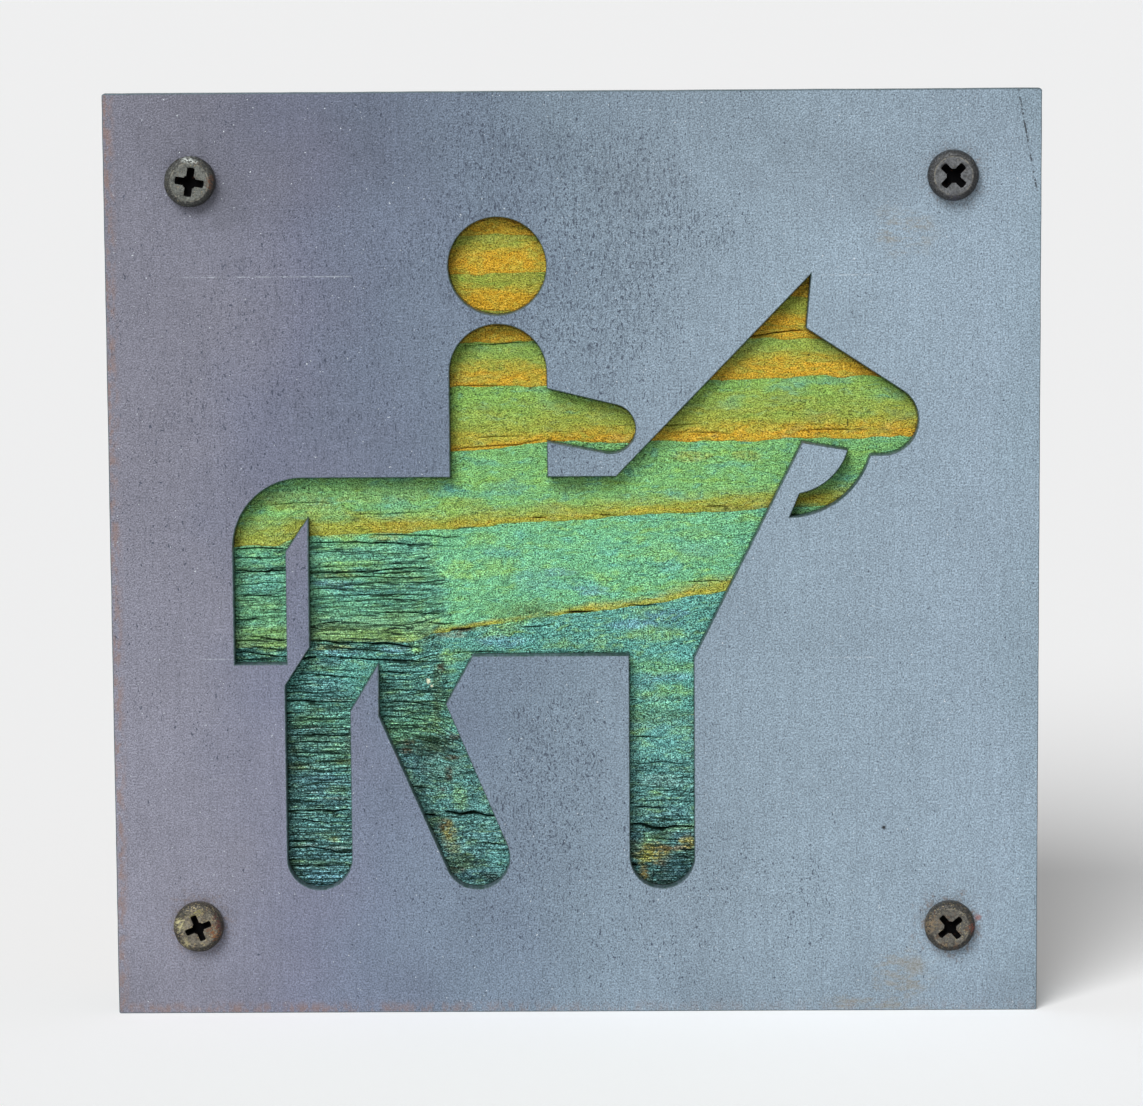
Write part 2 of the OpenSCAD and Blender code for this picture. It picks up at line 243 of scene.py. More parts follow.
# Growth rings from the top of the board down: the lower edge as (x, z) points from left to right, how far
# above it the ring is yellow and how far orange, in mm or as (x, mm) points, and how cool its green is
RINGS = [
    ([(-75, 78), (75, 75)], 5, 4, 0),
    ([(-75, 70), (75, 67)], 5, 4, 0),
    ([(-70, 62), (70, 58)], 5, 4, 0),
    ([(-70, 54), (-20, 52), (-5, 51.8), (38, 47), (70, 47)], 5, 4.5, 0),
    ([(-70, 47), (-20, 45.4), (-12, 45.6), (-5, 46), (38, 41.2), (70, 41)], 4.6, 3.9, 0),
    ([(-70, 40), (-20, 39.7), (-5, 39.8), (38, 36.6), (70, 36)], 4.4, [(-70, 3.3), (0, 3.3), (38, 1.9)], 0),
    ([(-70, 34), (-20, 34.4), (-5, 34.8), (28, 34.9), (38, 34.8), (70, 34)], 4.2, 3.4, 0),
    ([(-70, 27), (-20, 27.2), (-5, 27.6), (25, 28.2), (38, 28.8), (70, 29)],
     [(-70, 4.2), (0, 4.2), (28, 5.2)], [(-70, 2.4), (0, 2.4), (28, 3)], 0.06),
    ([(-70, 15), (-20, 16.7), (-12, 17.4), (-5, 18.5), (5, 18.3), (11, 18.1), (35, 18.7), (55, 18.9),
     (70, 19)],
     [(-70, 5), (7, 5.4), (30, 6.2)], [(-70, 1.2), (-5, 1.1), (3, 2), (10, 1.6), (28, 2.3)], 0.14),
    ([(-70, 1), (-48, 1.6), (-46, 2.4), (-43, 3.2), (-36, 3.5), (-28, 3.8), (-19, 4.2), (-5, 5.4), (3, 5.9),
     (12, 6.4), (22, 6.9), (31, 7.4), (70, 9)],
     [(-70, 3.6), (-45, 3.4), (-20, 2.6), (0, 2.4), (30, 2.6)],
     [(-70, 0.1), (-46, 0.2), (-40, 0.7), (-33, 1.3), (-26, 1.3), (-20, 0.9), (0, 1.1), (30, 1.2)], 0.5),
    ([(-70, -16), (-47, -14.9), (-43, -13.9), (-27, -14.3), (-23, -12.8), (-17, -12), (-11, -11.2), (-5, -10),
     (3, -9.3), (9, -8.6), (14, -8.1), (20, -6.7), (25, -6.2), (70, 0)],
     [(-70, 3), (-48, 3), (-40, 3.4), (-25, 3), (-21, 0.8), (-8, 0.8), (4, 1.1), (12, 0.9), (17, 1.6),
      (30, 2.2)],
     [(-70, 0.5), (-27, 0.3), (-20, 0.4), (-17, 1), (2, 0.8), (11, 0.6), (16, 1.1), (30, 1.5)], 0.8),
    ([(-70, -29), (-30, -28), (8, -27.4), (20, -26.6), (70, -24)], 0.05, 0.05, 1.2),
    ([(-70, -46), (70, -45)], 0.05, 0.05, 1.6),
    ([(-70, -64), (70, -62)], 0.05, 0.05, 1.8),
    ([(-75, -80), (75, -78)], 0.05, 0.05, 1.9),
]

# Weathered places: x, z, half width, half height, how strong
WEATHERED = [
    (-38, -7, 20.5, 11, 1), (-28, -1.5, 9, 6.5, 0.9), (-53, -8, 10, 11, 0.85), (-42, -38, 9, 24, 1),
    (-26, -24, 7, 12, 1), (-22, -37, 7, 9, 0.62), (-17, -50, 8, 8, 0.6), (-25, -18, 5, 6, 0.9),
    (14, -50, 8, 9, 0.85), (14, -38, 8, 5, 0.5),
]

# The weathered body's right-hand edge: z and x
WORN_EDGE = [
    (-26, -16), (-18, -21), (-15, -22), (-12.5, -22.5), (-10, -20.2), (-8, -20.6), (-4, -21), (-2, -22.2),
    (3, -23),
]

# The lower line of the amber band above the weathered body: x and z
AMBER_LINE = [(-56, 1.6), (-48, 1.8), (-43, 3.2), (-36, 3.3), (-19, 3.0)]

# How fast the grain rises to the right at each height: z and slope
GRAIN_RISE = [(-60, -0.02), (-20, -0.04), (-12, 0.03), (4, 0.06), (20, 0.0)]

# Where the grain dips, below the knee of the second hind leg: x, z, half width, half height, slope
KNEE_BEND = (-20, -31, 5, 7, 0.4)

# The larger cracks: half width, depth, then x and z of each point from left to right
CRACKS = [
    (0.14, 1, -43, 2.6, -41, 2.5, -38, 2.55, -36, 2.6, -33, 2.4, -31, 2.45, -27.5, 2.2, -25, 2, -23, 2.2),
    (0.11, 0.8, -33.8, 3.8, -31, 3.75, -28, 3.8, -24, 3.6, -21, 3.25, -18, 3.4),
    (0.07, 0.5, -27.5, 1.9, -22.5, 1.9, -18.5, 1.85),
    (0.06, 0.4, -42, 1.2, -38, 1.4, -35.5, 1.5),
    (0.07, 0.5, -35.5, -1.1, -33, -1.2, -31.5, -1.1),
    (0.17, 1.1, -43, -2.6, -41, -2.5, -38, -2.35, -35, -2.25, -32.5, -2.3, -30, -1.9, -27, -1.75, -23,
     -1.7),
    (0.08, 0.6, -34, -2.45, -31, -2.5, -27, -2.4, -24, -2.4, -21.4, -2.55),
    (0.1, 0.7, -43, -3.3, -38, -3.25, -33.5, -3, -30, -3.2, -27, -3.3, -22, -3.4),
    (0.08, 0.6, -42, -4.6, -38, -4.6, -34.5, -4.3, -31, -4.1, -27, -4.1, -23.5, -4.1, -21, -4.5),
    (0.06, 0.4, -40, -5.2, -33, -5, -27, -5, -22, -5.2, -20.5, -5.3),
    (0.09, 0.6, -42.5, -6.1, -38, -6.3, -34.5, -6, -31, -6.1, -27, -6, -23.5, -6.2),
    (0.07, 0.5, -33, -6.7, -27, -7, -23.5, -7.4, -21, -7.5),
    (0.06, 0.4, -34, -7.9, -31, -7.8, -27.5, -7.9),
    (0.1, 0.8, -33, -9.1, -30.5, -8.9, -26, -9, -22.5, -9.2, -20.8, -9.5),
    (0.06, 0.5, -43, -8.8, -39, -8.8),
    (0.09, 0.7, -43, -11, -41.5, -10.8, -38.5, -10.4, -36.5, -10.7, -33.5, -10.7),
    (0.1, 0.7, -34.5, -11.2, -31, -11, -28, -11.2, -26.3, -11.6, -25, -12.3, -24, -12.8),
    (0.07, 0.5, -40, -11.7, -37, -11.7, -34, -11.6),
    (0.09, 0.6, -31.8, -11.9, -30.5, -12.3, -28, -12.5),
    (0.09, 0.6, -24, -10.5, -22, -10.9, -19.5, -10.7),
    (0.22, 1.4, -43, -13.5, -41, -13.5, -38.5, -13.9, -35, -13.9, -33, -14.1, -30.5, -14, -29, -14.3, -25,
     -14.8),
    (0.1, 0.7, -43, -14.1, -40, -14.3, -37, -14.9, -33, -15.1, -30, -15.5, -27.5, -15.6),
    (0.1, 0.7, -28, -15.9, -25.5, -16),
    (0.15, 1.2, -43.5, -15.9, -40.5, -16.1, -37, -16.4, -33, -16.6, -29, -16.8, -25, -17, -20, -17.1),
    (0.2, 1, -44.5, -16.4, -42, -16.3),
    (0.09, 0.6, -21, -15.4, -18.5, -15.5, -15, -15.4, -12, -15.5),
    (0.24, 0.9, -20.3, -11.9, -19, -11.8, -17.6, -11.8, -16.6, -11.5),
    (0.24, 0.9, -1.5, -9.1, 0, -8.9, 1.2, -9, 3.2, -8.8),
    (0.15, 0.8, 8.8, -8, 11, -8, 13.6, -7.9),
    (0.1, 0.6, -9.5, -11.4, -6, -11.3, -3, -10.9),
    (0.08, 0.5, 18, -4.2, 22, -4, 24.6, -4.2),
    (0.2, 0.7, -7, 6.5, -5.6, 6.45, -4.3, 6.5),
    (0.08, 0.5, 2.5, 7, 5, 6.8, 7, 6.7),
    (0.1, 0.6, 21, 8.1, 23.5, 8.1, 25, 8),
    (0.06, 0.4, -19, 4.7, -16, 4.9),
    (0.08, 0.5, -20, 17.6, -15, 18, -9, 18.3, -4.6, 19.2),
    (0.11, 0.7, 28.4, 35.6, 33, 36.2, 37.6, 36.6),
    (0.08, 0.5, -18, 34.4, -12, 34.6, -6.4, 34.9),
    (0.05, 0.4, -19.8, 27.7, -16, 27.9, -11, 27.8),
    (0.05, 0.4, 15, 20.1, 20, 20.2, 26, 19.9),
    (0.05, 0.4, 36, 20.3, 42, 20.5, 47, 20.4),
    (0.05, 0.4, 8, 21.4, 14, 21.3, 21, 21.5),
    (0.05, 0.4, -16, 19.4, -12, 19.7, -8, 19.6),
    (0.05, 0.4, -50, 8.6, -45, 9, -38, 9.1),
    (0.05, 0.4, -36, 7.1, -30, 7.2, -24, 7.5),
    (0.13, 1, -55.2, 1.7, -53.5, 1.6, -51, 1.8, -49, 1.6, -46.5, 1.5),
    (0.1, 0.6, -55.2, 0.2, -53, 0.2, -50, 0, -46.5, 0),
    (0.2, 1.2, -55.3, -1.9, -53.7, -2, -52.5, -2.2, -51, -2.1, -50, -2.2, -49, -1.9, -48, -2.1, -46.5,
     -2.1),
    (0.08, 0.6, -55.2, -4.3, -52, -4.3, -50.8, -4, -46.5, -4),
    (0.09, 0.6, -54.5, -6, -50, -6.2, -46.5, -6.3),
    (0.13, 0.8, -55.4, -9.9, -53.8, -9.95, -51, -9.8),
    (0.1, 0.8, -55.4, -13.4, -52.5, -13.5, -49, -13.7),
    (0.1, 0.8, -53.2, -12.7, -50.5, -13, -48.5, -13.4, -46.5, -13.5),
    (0.12, 0.9, -53, -14.3, -50, -14.8, -48, -15, -46.5, -15.2),
    (0.16, 1.1, -55.4, -15.4, -53.3, -15.4, -51, -15.8, -48.5, -16.1, -46.5, -16.2),
    (0.08, 0.6, -55.4, -16.6, -50, -16.7),
    (0.12, 0.9, -45.3, -18.8, -42, -19.1, -38.5, -19.4, -35, -19.7),
    (0.08, 0.5, -41.5, -18.1, -38, -18.3, -35, -18.6),
    (0.08, 0.5, -45.5, -21.7, -44, -22, -42, -22.4),
    (0.17, 1.3, -47.4, -23.3, -43.5, -23.4, -41, -23.6, -36.3, -23.6),
    (0.08, 0.5, -47.4, -24.8, -43, -24.9, -41, -25.2),
    (0.07, 0.5, -47.4, -25.9, -42, -26.3, -36.5, -26.2),
    (0.1, 0.7, -47.4, -27.5, -44, -27.7, -40, -27.8, -36.5, -27.9),
    (0.13, 0.9, -47.4, -29.2, -43, -28.9, -40, -29.1, -36.3, -29.1),
    (0.11, 0.8, -47.4, -30.3, -42, -30.1, -40, -30.2, -38.5, -30.6),
    (0.1, 0.7, -47.4, -32, -42, -32, -36.5, -32.2),
    (0.08, 0.6, -47.4, -33.8, -44, -34, -42, -33.5, -36.5, -33.4),
    (0.1, 0.7, -47.4, -34.8, -44, -34.7, -42, -34.9, -36.5, -35.2),
    (0.09, 0.7, -44, -36.4, -40, -36.5, -38, -36.4),
    (0.08, 0.6, -46.8, -38.6, -42, -38.7),
    (0.08, 0.6, -46.8, -39.8, -42, -40),
    (0.18, 1.3, -47.4, -41.5, -44, -41.5, -42, -41.4, -39.5, -41.6, -38.3, -41.3, -36.3, -41.4),
    (0.11, 0.9, -47.4, -42.7, -44, -43.1, -41, -43.5, -38.2, -43.4),
    (0.15, 1, -47.4, -46.5, -45, -46.5, -43.8, -46.4, -42, -46.8),
    (0.15, 1, -47.4, -47.5, -44, -47.5, -42, -47.8, -40.5, -47.9, -39, -48.5, -36.3, -48.5),
    (0.1, 0.8, -47.4, -50.5, -44, -50.6, -41, -50.7, -38.5, -50.6),
    (0.1, 0.6, -45.5, -53.4, -43, -53.7, -40.5, -53.9),
    (0.1, 0.8, -32.2, -18.6, -28, -18.8, -24.5, -18.7),
    (0.08, 0.6, -32.2, -20, -28, -20, -25, -20.2),
    (0.1, 0.7, -32.2, -21.6, -27.5, -21.7, -25, -21.8),
    (0.12, 0.8, -32.2, -23.6, -28, -23.7, -26, -23.8, -24, -24.2, -22, -24.7),
    (0.09, 0.7, -32, -25, -28, -25.1, -25, -25.6),
    (0.1, 0.7, -32, -26, -28, -26.1, -25.5, -26.6, -23.5, -27),
    (0.1, 0.7, -31, -27.3, -27, -27.5, -25, -28, -23, -28.8),
    (0.1, 0.7, -24.5, -27.2, -22.5, -28.3, -20.5, -29.5),
    (0.1, 0.7, -27, -28.9, -25, -29.9, -23, -30.3, -21, -30.7),
    (0.09, 0.6, -22.5, -28.9, -20.8, -29.9, -18.7, -30.1),
    (0.08, 0.6, -22, -31, -20, -31.9, -18.2, -32.2),
    (0.08, 0.6, -28, -34.5, -25, -34.8),
    (0.08, 0.6, -24, -35.8, -20, -36.5),
    (0.1, 0.7, -27, -37.6, -24.5, -37.8, -22.8, -38),
    (0.24, 1.2, -25.4, -42.1, -24.4, -42.2, -22.6, -42.4),
    (0.45, 1.7, -21.6, -41.6, -20.2, -42, -18.8, -42.25, -17, -42, -15.8, -42.2, -14.8, -42.45, -12.8,
     -42.6),
    (0.06, 0.4, -18.5, -39.2, -15.5, -39.4),
    (0.08, 0.6, -17, -47.2, -15, -46.9, -11.2, -47.4),
    (0.09, 0.6, -20.8, -51, -19, -51.2, -17.5, -50.6),
    (0.12, 0.8, 8.4, -29.6, 12, -29.5, 13.5, -29.7),
    (0.08, 0.6, 8.4, -33.7, 11, -34, 14, -33.6, 16.5, -34, 19.6, -34.3),
    (0.06, 0.4, 9, -35.2, 13, -35.1),
    (0.07, 0.5, 15.5, -36.5, 18, -36.3, 19.6, -36.4),
    (0.06, 0.4, 9, -37.5, 13, -37.9, 19.5, -38.1),
    (0.06, 0.4, 12, -38.4, 16, -38.4, 18.8, -38.8),
    (0.07, 0.5, 9.3, -40.2, 14, -40.1, 17, -40.1, 19.6, -40.4),
    (0.12, 0.8, 8.8, -41.1, 11.5, -41.1, 13, -41.3, 15.2, -41.3),
    (0.05, 0.4, 14, -42.6, 19.5, -42.7),
    (0.4, 1.7, 8.2, -44, 10.5, -44, 11.5, -44.4, 12.5, -44.7, 14, -44.8, 15.5, -44.5, 17, -44.3, 19.8,
     -44.6),
    (0.1, 0.8, 12.5, -46.6, 14, -46.4, 15.5, -46.6, 17, -46.7),
    (0.15, 0.9, 16.8, -48.1, 18, -48.3, 19.6, -48.1),
    (0.25, 1.2, 8.4, -50.6, 9.2, -50.7, 10.2, -50.7),
    (0.1, 0.7, 10.3, -50.3, 12, -51.1, 14, -51.7),
    (0.15, 0.8, 16.3, -49.5, 17.5, -49.4, 19.3, -49.9),
]

# Stains and worn spots: a colour, and for each spot x, z, half width, half height and strength
STAINS = {
    "amber": ((204, 152, 34), [
        (-12, 41.4, 6, 1.5, 0.5), (-12.6, 31, 6, 1.1, 0.25), (-13, 19.6, 7, 1, 0.25),
        (-12, 47.8, 6, 1.3, 0.2),
    ]),
    "ochre": ((156, 140, 46), [
        (-50.5, 3, 5, 1, 0.4), (-20.9, -44.8, 1.1, 1.8, 0.7), (-20.4, -47.4, 1.4, 1.6, 0.35),
        (12.4, -48.6, 3.2, 2, 0.75), (18.1, -46.7, 1.4, 1.2, 0.8), (-29.5, 5, 4.5, 1, 0.7),
        (-18, 5.6, 3.2, 0.6, 0.6), (-28.6, -13.3, 2, 0.4, 0.6), (18.6, 16.2, 3, 0.9, 0.4),
        (-31, 3.4, 2.4, 0.6, 0.4), (10.9, -52.2, 0.9, 1.8, 0.8),
    ]),
    "olive": ((144, 148, 62), [
        (12, -26.8, 3.4, 0.6, 0.25), (12.6, -22.8, 2.4, 0.7, 0.25), (11, -49.4, 1.6, 1.2, 0.6),
        (-18, 9, 3, 1, 0.3), (-11, 12.4, 2.5, 1.5, 0.12), (-45, 9.5, 6, 1.6, 0.6), (-30, 10.5, 8, 1.6, 0.3),
        (-38.5, -2.9, 3.4, 0.4, 0.35), (-45, -34.2, 2.2, 0.5, 0.35), (-38, -33.4, 2.2, 0.4, 0.5),
        (-39.6, -46.2, 1, 0.5, 0.6), (-23.8, -27.6, 2, 1.2, 0.4), (-39, -14.6, 3.6, 0.4, 0.6),
        (28, 16.4, 2.2, 0.9, 0.5), (-38.5, 4.2, 4, 0.9, 0.5),
    ]),
    "lime": ((138, 182, 92), [
        (-18.4, -2.2, 3, 1.4, 0.5), (-12.4, -1.6, 3.4, 1.6, 0.4), (-50, 3.4, 5, 1, 0.3),
        (14, 1.2, 3.2, 1.4, 0.3), (20, 3.4, 3.2, 1, 0.3), (16.6, -21.7, 2.6, 0.8, 0.4),
        (4.6, -3.6, 1.6, 0.9, 0.5), (-25.6, -15.2, 1, 0.5, 0.6), (-39, -38, 2, 0.8, 0.4),
        (-19, -39, 1.4, 2.2, 0.4), (14, -12.6, 4, 1.2, 0.4), (-37, -1, 4.4, 0.6, 0.5),
        (17, -28.5, 2.2, 0.7, 0.35),
    ]),
    "fern": ((126, 164, 92), [
        (-30.2, -12.6, 6, 1.2, 0.7), (-38.4, -12.6, 4.4, 1.4, 0.6), (-50.5, -12.2, 3.6, 1.1, 0.9),
        (-49.6, -14.4, 3, 0.9, 0.8), (36.8, 7.2, 2.2, 1.2, 0.5),
    ]),
    "leaf": ((104, 158, 108), [
        (-51, -9.8, 4, 1.8, 0.6), (37, 7.4, 2.4, 1.2, 0.6), (-51, -12.4, 4, 1, 0.4), (-9, 10.6, 4, 1.2, 0.4),
        (-9.5, -8.6, 5.4, 1.9, 1), (20, 1.2, 4, 1.3, 0.5), (14, -18, 5.4, 1.4, 0.7),
        (13.5, -26, 5, 1.8, 0.9), (-45, 10.2, 5, 1.8, 0.5), (-30, 11, 7, 1.5, 0.5), (-26, -28, 5, 3, 0.6),
        (14, -22, 5, 1.4, 0.5), (-38, -30, 7, 5, 0.3), (-15, -6.6, 3.6, 1.2, 0.4), (-39, 6.4, 3, 0.7, 0.5),
        (-30, 8.2, 5, 0.9, 0.4),
    ]),
    "sea": ((94, 158, 154), [
        (20, 1, 4, 1.4, 0.4), (-11, 11, 3.4, 1.2, 0.35), (-27.5, -4.9, 5, 1, 0.5),
        (-35.8, -5.6, 4.4, 0.8, 0.6), (13.6, -30.8, 5.4, 3, 0.5), (0.2, -4.4, 4.4, 1, 0.5),
        (15, -1.4, 2.6, 1, 0.5), (-12, 0.9, 3, 0.9, 0.5), (-51, -5, 3.4, 1, 0.5),
        (-12.6, -49.4, 1.9, 1.6, 0.5), (17.5, -15.6, 2.2, 0.9, 0.5), (-41.6, -53.4, 4.4, 2, 0.6),
        (15, -10, 3.4, 1.4, 0.9), (14, -37, 5, 1.4, 0.5), (-51, -2.8, 4, 1.6, 0.4),
    ]),
    "sky": ((106, 152, 174), [
        (-41, -53, 4, 1.4, 0.5), (-38.8, -4.2, 3.6, 0.7, 0.5), (-7, -3.6, 3, 2, 0.2),
        (-2.6, -2.4, 2.4, 0.8, 0.4), (2.8, -5.6, 2.6, 0.8, 0.5), (9, -11, 4, 0.8, 0.6),
        (16, -9.4, 3.4, 0.7, 0.5), (-12, -13.6, 4.6, 0.9, 0.5), (-29.5, -15, 2.2, 0.6, 0.6),
        (11.5, -20.4, 2.2, 1.4, 0.35), (15.8, -19.6, 3, 0.7, 0.35), (-42, -37, 4.4, 2, 0.3),
        (-42, -52, 4, 2, 0.3), (17, -45.7, 2.4, 0.7, 0.4), (-38, -15.5, 4, 0.5, 0.4),
    ]),
    "slate": ((62, 100, 112), [
        (-26.5, -33, 2.4, 2.6, 0.6), (-22, -31.6, 2.6, 1.2, 0.5), (14, -26, 5, 1.6, 0.5),
        (14, -23.2, 4, 0.4, 0.3), (15, -10, 3.4, 1.6, 0.6), (-36, 1, 2.6, 0.5, 0.3),
        (-41, -36, 3.2, 0.7, 0.4), (-42, -40.4, 4, 1, 0.5), (-42, -48.6, 4.6, 1, 0.4),
        (-41, -21, 4, 2, 0.45), (-41, -29.5, 5, 2, 0.3), (14, -42, 5, 1.4, 0.5), (-16, -42.6, 4, 6, 0.15),
        (-40, -17, 3, 0.7, 0.5), (16.8, -50.6, 3.2, 2, 0.7), (16.4, -52.4, 3, 1.6, 0.6),
        (9.6, -46.5, 1.4, 2.6, 0.6), (-26.2, -36, 2.4, 3.4, 0.5), (-16.4, -52.2, 3.4, 1.3, 0.75),
        (-42, -25, 4, 0.8, 0.3),
    ]),
    "moss": ((84, 104, 62), [
        (-16, -11.5, 2.8, 0.6, 0.5), (-8, -9.2, 5, 0.8, 0.4), (25, 7.8, 4, 0.5, 0.4),
        (-6, -7.8, 3.4, 1.2, 0.3), (0, 11, 3, 1.2, 0.4), (-24.2, -13, 1, 0.9, 0.6),
        (-40, -11.2, 2.2, 0.7, 0.5), (-45.8, -31.4, 1.2, 0.8, 0.6), (-28, -24.5, 3.4, 2, 0.3),
        (-22.6, -22.5, 0.9, 4.6, 0.6), (-22, -34, 4, 4, 0.25), (-24, -30.5, 4, 1.6, 0.4),
        (-19, -49.8, 2.2, 1.6, 0.6),
    ]),
    "night": ((18, 32, 28), [
        (-15.4, -52.6, 3, 1, 0.35), (-23.5, -45.2, 1.4, 4.6, 0.7), (-25.4, -39.2, 1.2, 3, 0.5),
        (-15.8, -50.2, 1.8, 0.7, 0.7), (-13.8, -52.6, 1.5, 0.8, 0.7), (13.6, -51.9, 1.8, 0.8, 0.8),
        (14, -53.6, 2.6, 0.7, 0.7), (-22.3, -13, 0.9, 2.2, 0.5), (-35.2, 6.4, 0.8, 0.4, 0.6),
        (17.6, -49.2, 2, 0.6, 0.5), (-23.6, -30.4, 3, 1.8, 0.5), (13.6, -53, 4, 1.2, 0.5),
        (-25.2, -33.5, 1.2, 1.6, 0.5), (-21.6, -18.5, 0.7, 2.4, 0.5),
    ]),
    "rust": ((70, 46, 26), [
        (-21.5, -43.6, 0.8, 0.9, 0.7), (-20.3, -32.7, 1.1, 0.4, 0.8), (-20.7, -35.4, 0.5, 1.5, 0.7),
        (-21.6, -38, 0.8, 0.4, 0.8), (-19.8, -29.4, 1, 0.6, 0.7), (-27.4, -30.2, 1.6, 0.4, 0.7),
        (-28, -31.7, 1.1, 0.5, 0.8), (-18.4, -11.8, 1.6, 0.4, 0.7), (-37, -30, 0.6, 2.2, 0.4),
        (-21.8, -17.8, 0.5, 1, 0.7), (-19.6, -51.4, 1.2, 0.5, 0.6),
    ]),
    "clay": ((142, 114, 76), [
        (14.2, -47.9, 1.5, 0.6, 0.5), (-19.6, -12.6, 2.2, 0.5, 0.4), (16.2, -47.9, 1.5, 0.6, 0.6),
        (13.2, -50.4, 1.4, 0.4, 0.4), (11, -51.6, 1, 0.9, 0.5),
    ]),
    "chalk": ((166, 188, 178), [
        (-43, -27.8, 1.6, 0.2, 0.6), (-39, -39.4, 1.5, 0.2, 0.5), (-43.2, -38.5, 1, 0.2, 0.6),
        (-39.4, -47.6, 2.6, 0.3, 0.4), (-43.6, -47.2, 1.6, 0.25, 0.3), (-39, -23.2, 2.6, 0.25, 0.2),
        (14, -37, 4, 1.2, 0.22),
    ]),
}


# Outlines: lists of (x, z)

def at_bearing(middle, radius, degrees):
    turn = math.radians(degrees)
    return np.array([middle[0] + radius * math.cos(turn), middle[1] + radius * math.sin(turn)])


def arc(middle, radius, start, end, step=4.0):
    """Points on a circle from one bearing to another, both included."""
    count = max(2, int(math.ceil(abs(end - start) / step)) + 1)
    return [at_bearing(middle, radius, start + (end - start) * i / (count - 1)) for i in range(count)]


def bearing(middle, point):
    return math.degrees(math.atan2(point[1] - middle[1], point[0] - middle[0]))


def round_to(middle, radius, first, last, clockwise=True, step=4.0):
    """The arc round a circle that runs from beside one point to beside another."""
    start, end = bearing(middle, first), bearing(middle, last)
    if clockwise and end > start:
        end -= 360
    if not clockwise and end < start:
        end += 360
    return arc(middle, radius, start, end, step)


def touch(point, middle, radius, side):
    """Where a line from the point touches the circle."""
    reach = np.array(middle) - point
    length = np.linalg.norm(reach)
    turn = math.atan2(reach[1], reach[0]) + side * math.asin(radius / length)
    run = math.sqrt(length**2 - radius**2)
    return np.array([point[0] + run * math.cos(turn), point[1] + run * math.sin(turn)])


def crossing(point, direction, middle, radius):
    """The first point of a circle that a ray from outside or inside it reaches."""
    away = np.array(point) - middle
    unit = np.array(direction) / np.linalg.norm(direction)
    half = float(away @ unit)
    root = math.sqrt(half**2 - float(away @ away) + radius**2)
    run = -half - root if -half - root > 0 else -half + root
    return np.array(point) + run * unit


def circle(middle, radius, count):
    """A whole circle, clockwise."""
    return [at_bearing(middle, radius, -360 * i / count) for i in range(count)]


def slot_loop(middle, radius, low, high):
    """An upright bar with round ends, clockwise."""
    x, z = middle
    return arc((x, z + high), radius, 180, 0) + arc((x, z + low), radius, 0, -180)


def horse_and_rider():
    """The outline of everything but the rider's head, clockwise from the rump."""
    tail_in = TAIL_X + TAIL_W
    thigh = tail_in + DOCK_W
    side = RIDER_X + TRUNK_R
    shoulder = (RIDER_X, SHOULDER_Z - TRUNK_R)
    arm_top = np.array([side, ARM_TOP_Z])
    arm_under = np.array([side, ARM_UNDER_Z])
    muzzle_low = MUZZLE - (0, MUZZLE_R)
    rein_inner = REIN_R - REIN_W
    slope = (math.cos(math.radians(REIN_SLOPE)), math.sin(math.radians(REIN_SLOPE)))
    rein_foot = np.array([REIN_END_X, REIN[1] - REIN_R])
    rein_top = REIN + (math.sqrt(REIN_R**2 - (muzzle_low[1] - REIN[1]) ** 2), muzzle_low[1] - REIN[1])
    stifle = np.array([GROIN_X, STIFLE_Z])
    front_foot = (FRONT_LEG_X, FOOT_Z)
    hind_foot = (HIND_LEG_X, FOOT_Z)
    points = arc((TAIL_X + RUMP_R, BACK_Z - RUMP_R), RUMP_R, 180, 90)
    points += [(RIDER_X - TRUNK_R, BACK_Z)]
    points += arc(shoulder, TRUNK_R, 180, 0)
    points += [arm_top]
    points += round_to(HAND, HAND_R, touch(arm_top, HAND, HAND_R, 1), touch(arm_under, HAND, HAND_R, -1))
    points += [arm_under, (side, BACK_Z), (WITHERS_X, BACK_Z), EAR_TIP, EAR_ROOT]
    points += round_to(MUZZLE, MUZZLE_R, touch(EAR_ROOT, MUZZLE, MUZZLE_R, 1), muzzle_low)
    points += round_to(REIN, REIN_R, rein_top, rein_foot)
    rein_corner = crossing(rein_foot, slope, REIN, rein_inner)
    chin = crossing(CHIN, JAW - CHIN, REIN, rein_inner)
    points += round_to(REIN, rein_inner, rein_corner, chin, clockwise=False)
    points += [JAW, (FRONT_LEG_X + LEG_R, CHEST_Z)]
    points += arc(front_foot, LEG_R, 0, -180)
    points += [(FRONT_LEG_X - LEG_R, BELLY_Z), (FLANK_X, BELLY_Z), KNEE]
    points += round_to(
        SECOND_FOOT, LEG_R, touch(KNEE, SECOND_FOOT, LEG_R, 1), touch(stifle, SECOND_FOOT, LEG_R, -1)
    )
    points += [stifle, (GROIN_X, GROIN_Z), (HIND_LEG_X + LEG_R, SHANK_Z)]
    points += arc(hind_foot, LEG_R, 0, -180)
    points += [(HIND_LEG_X - LEG_R, HOCK_LOW_Z), (thigh, HOCK_HIGH_Z), (thigh, DOCK_Z)]
    points += [(tail_in, DOCK_Z - DOCK_DROP), (tail_in, TAIL_END_Z), (TAIL_X, TAIL_END_Z)]
    return points


def rounded_square(width, corner, step):
    """A square with rounded corners and its sides cut into short steps, anticlockwise."""
    half = width / 2 - corner
    count = int(2 * half / step)
    points = []
    for quarter in range(4):
        turn = math.radians(90 * quarter)
        along = np.array([math.cos(turn + math.pi / 2), math.sin(turn + math.pi / 2)])
        out = np.array([math.cos(turn), math.sin(turn)])
        side = out * (half + corner) - along * half
        points += [side + along * 2 * half * i / count for i in range(count)]
        points += arc(out * half + along * half, corner, 90 * quarter, 90 * quarter + 90, 30)
    return points


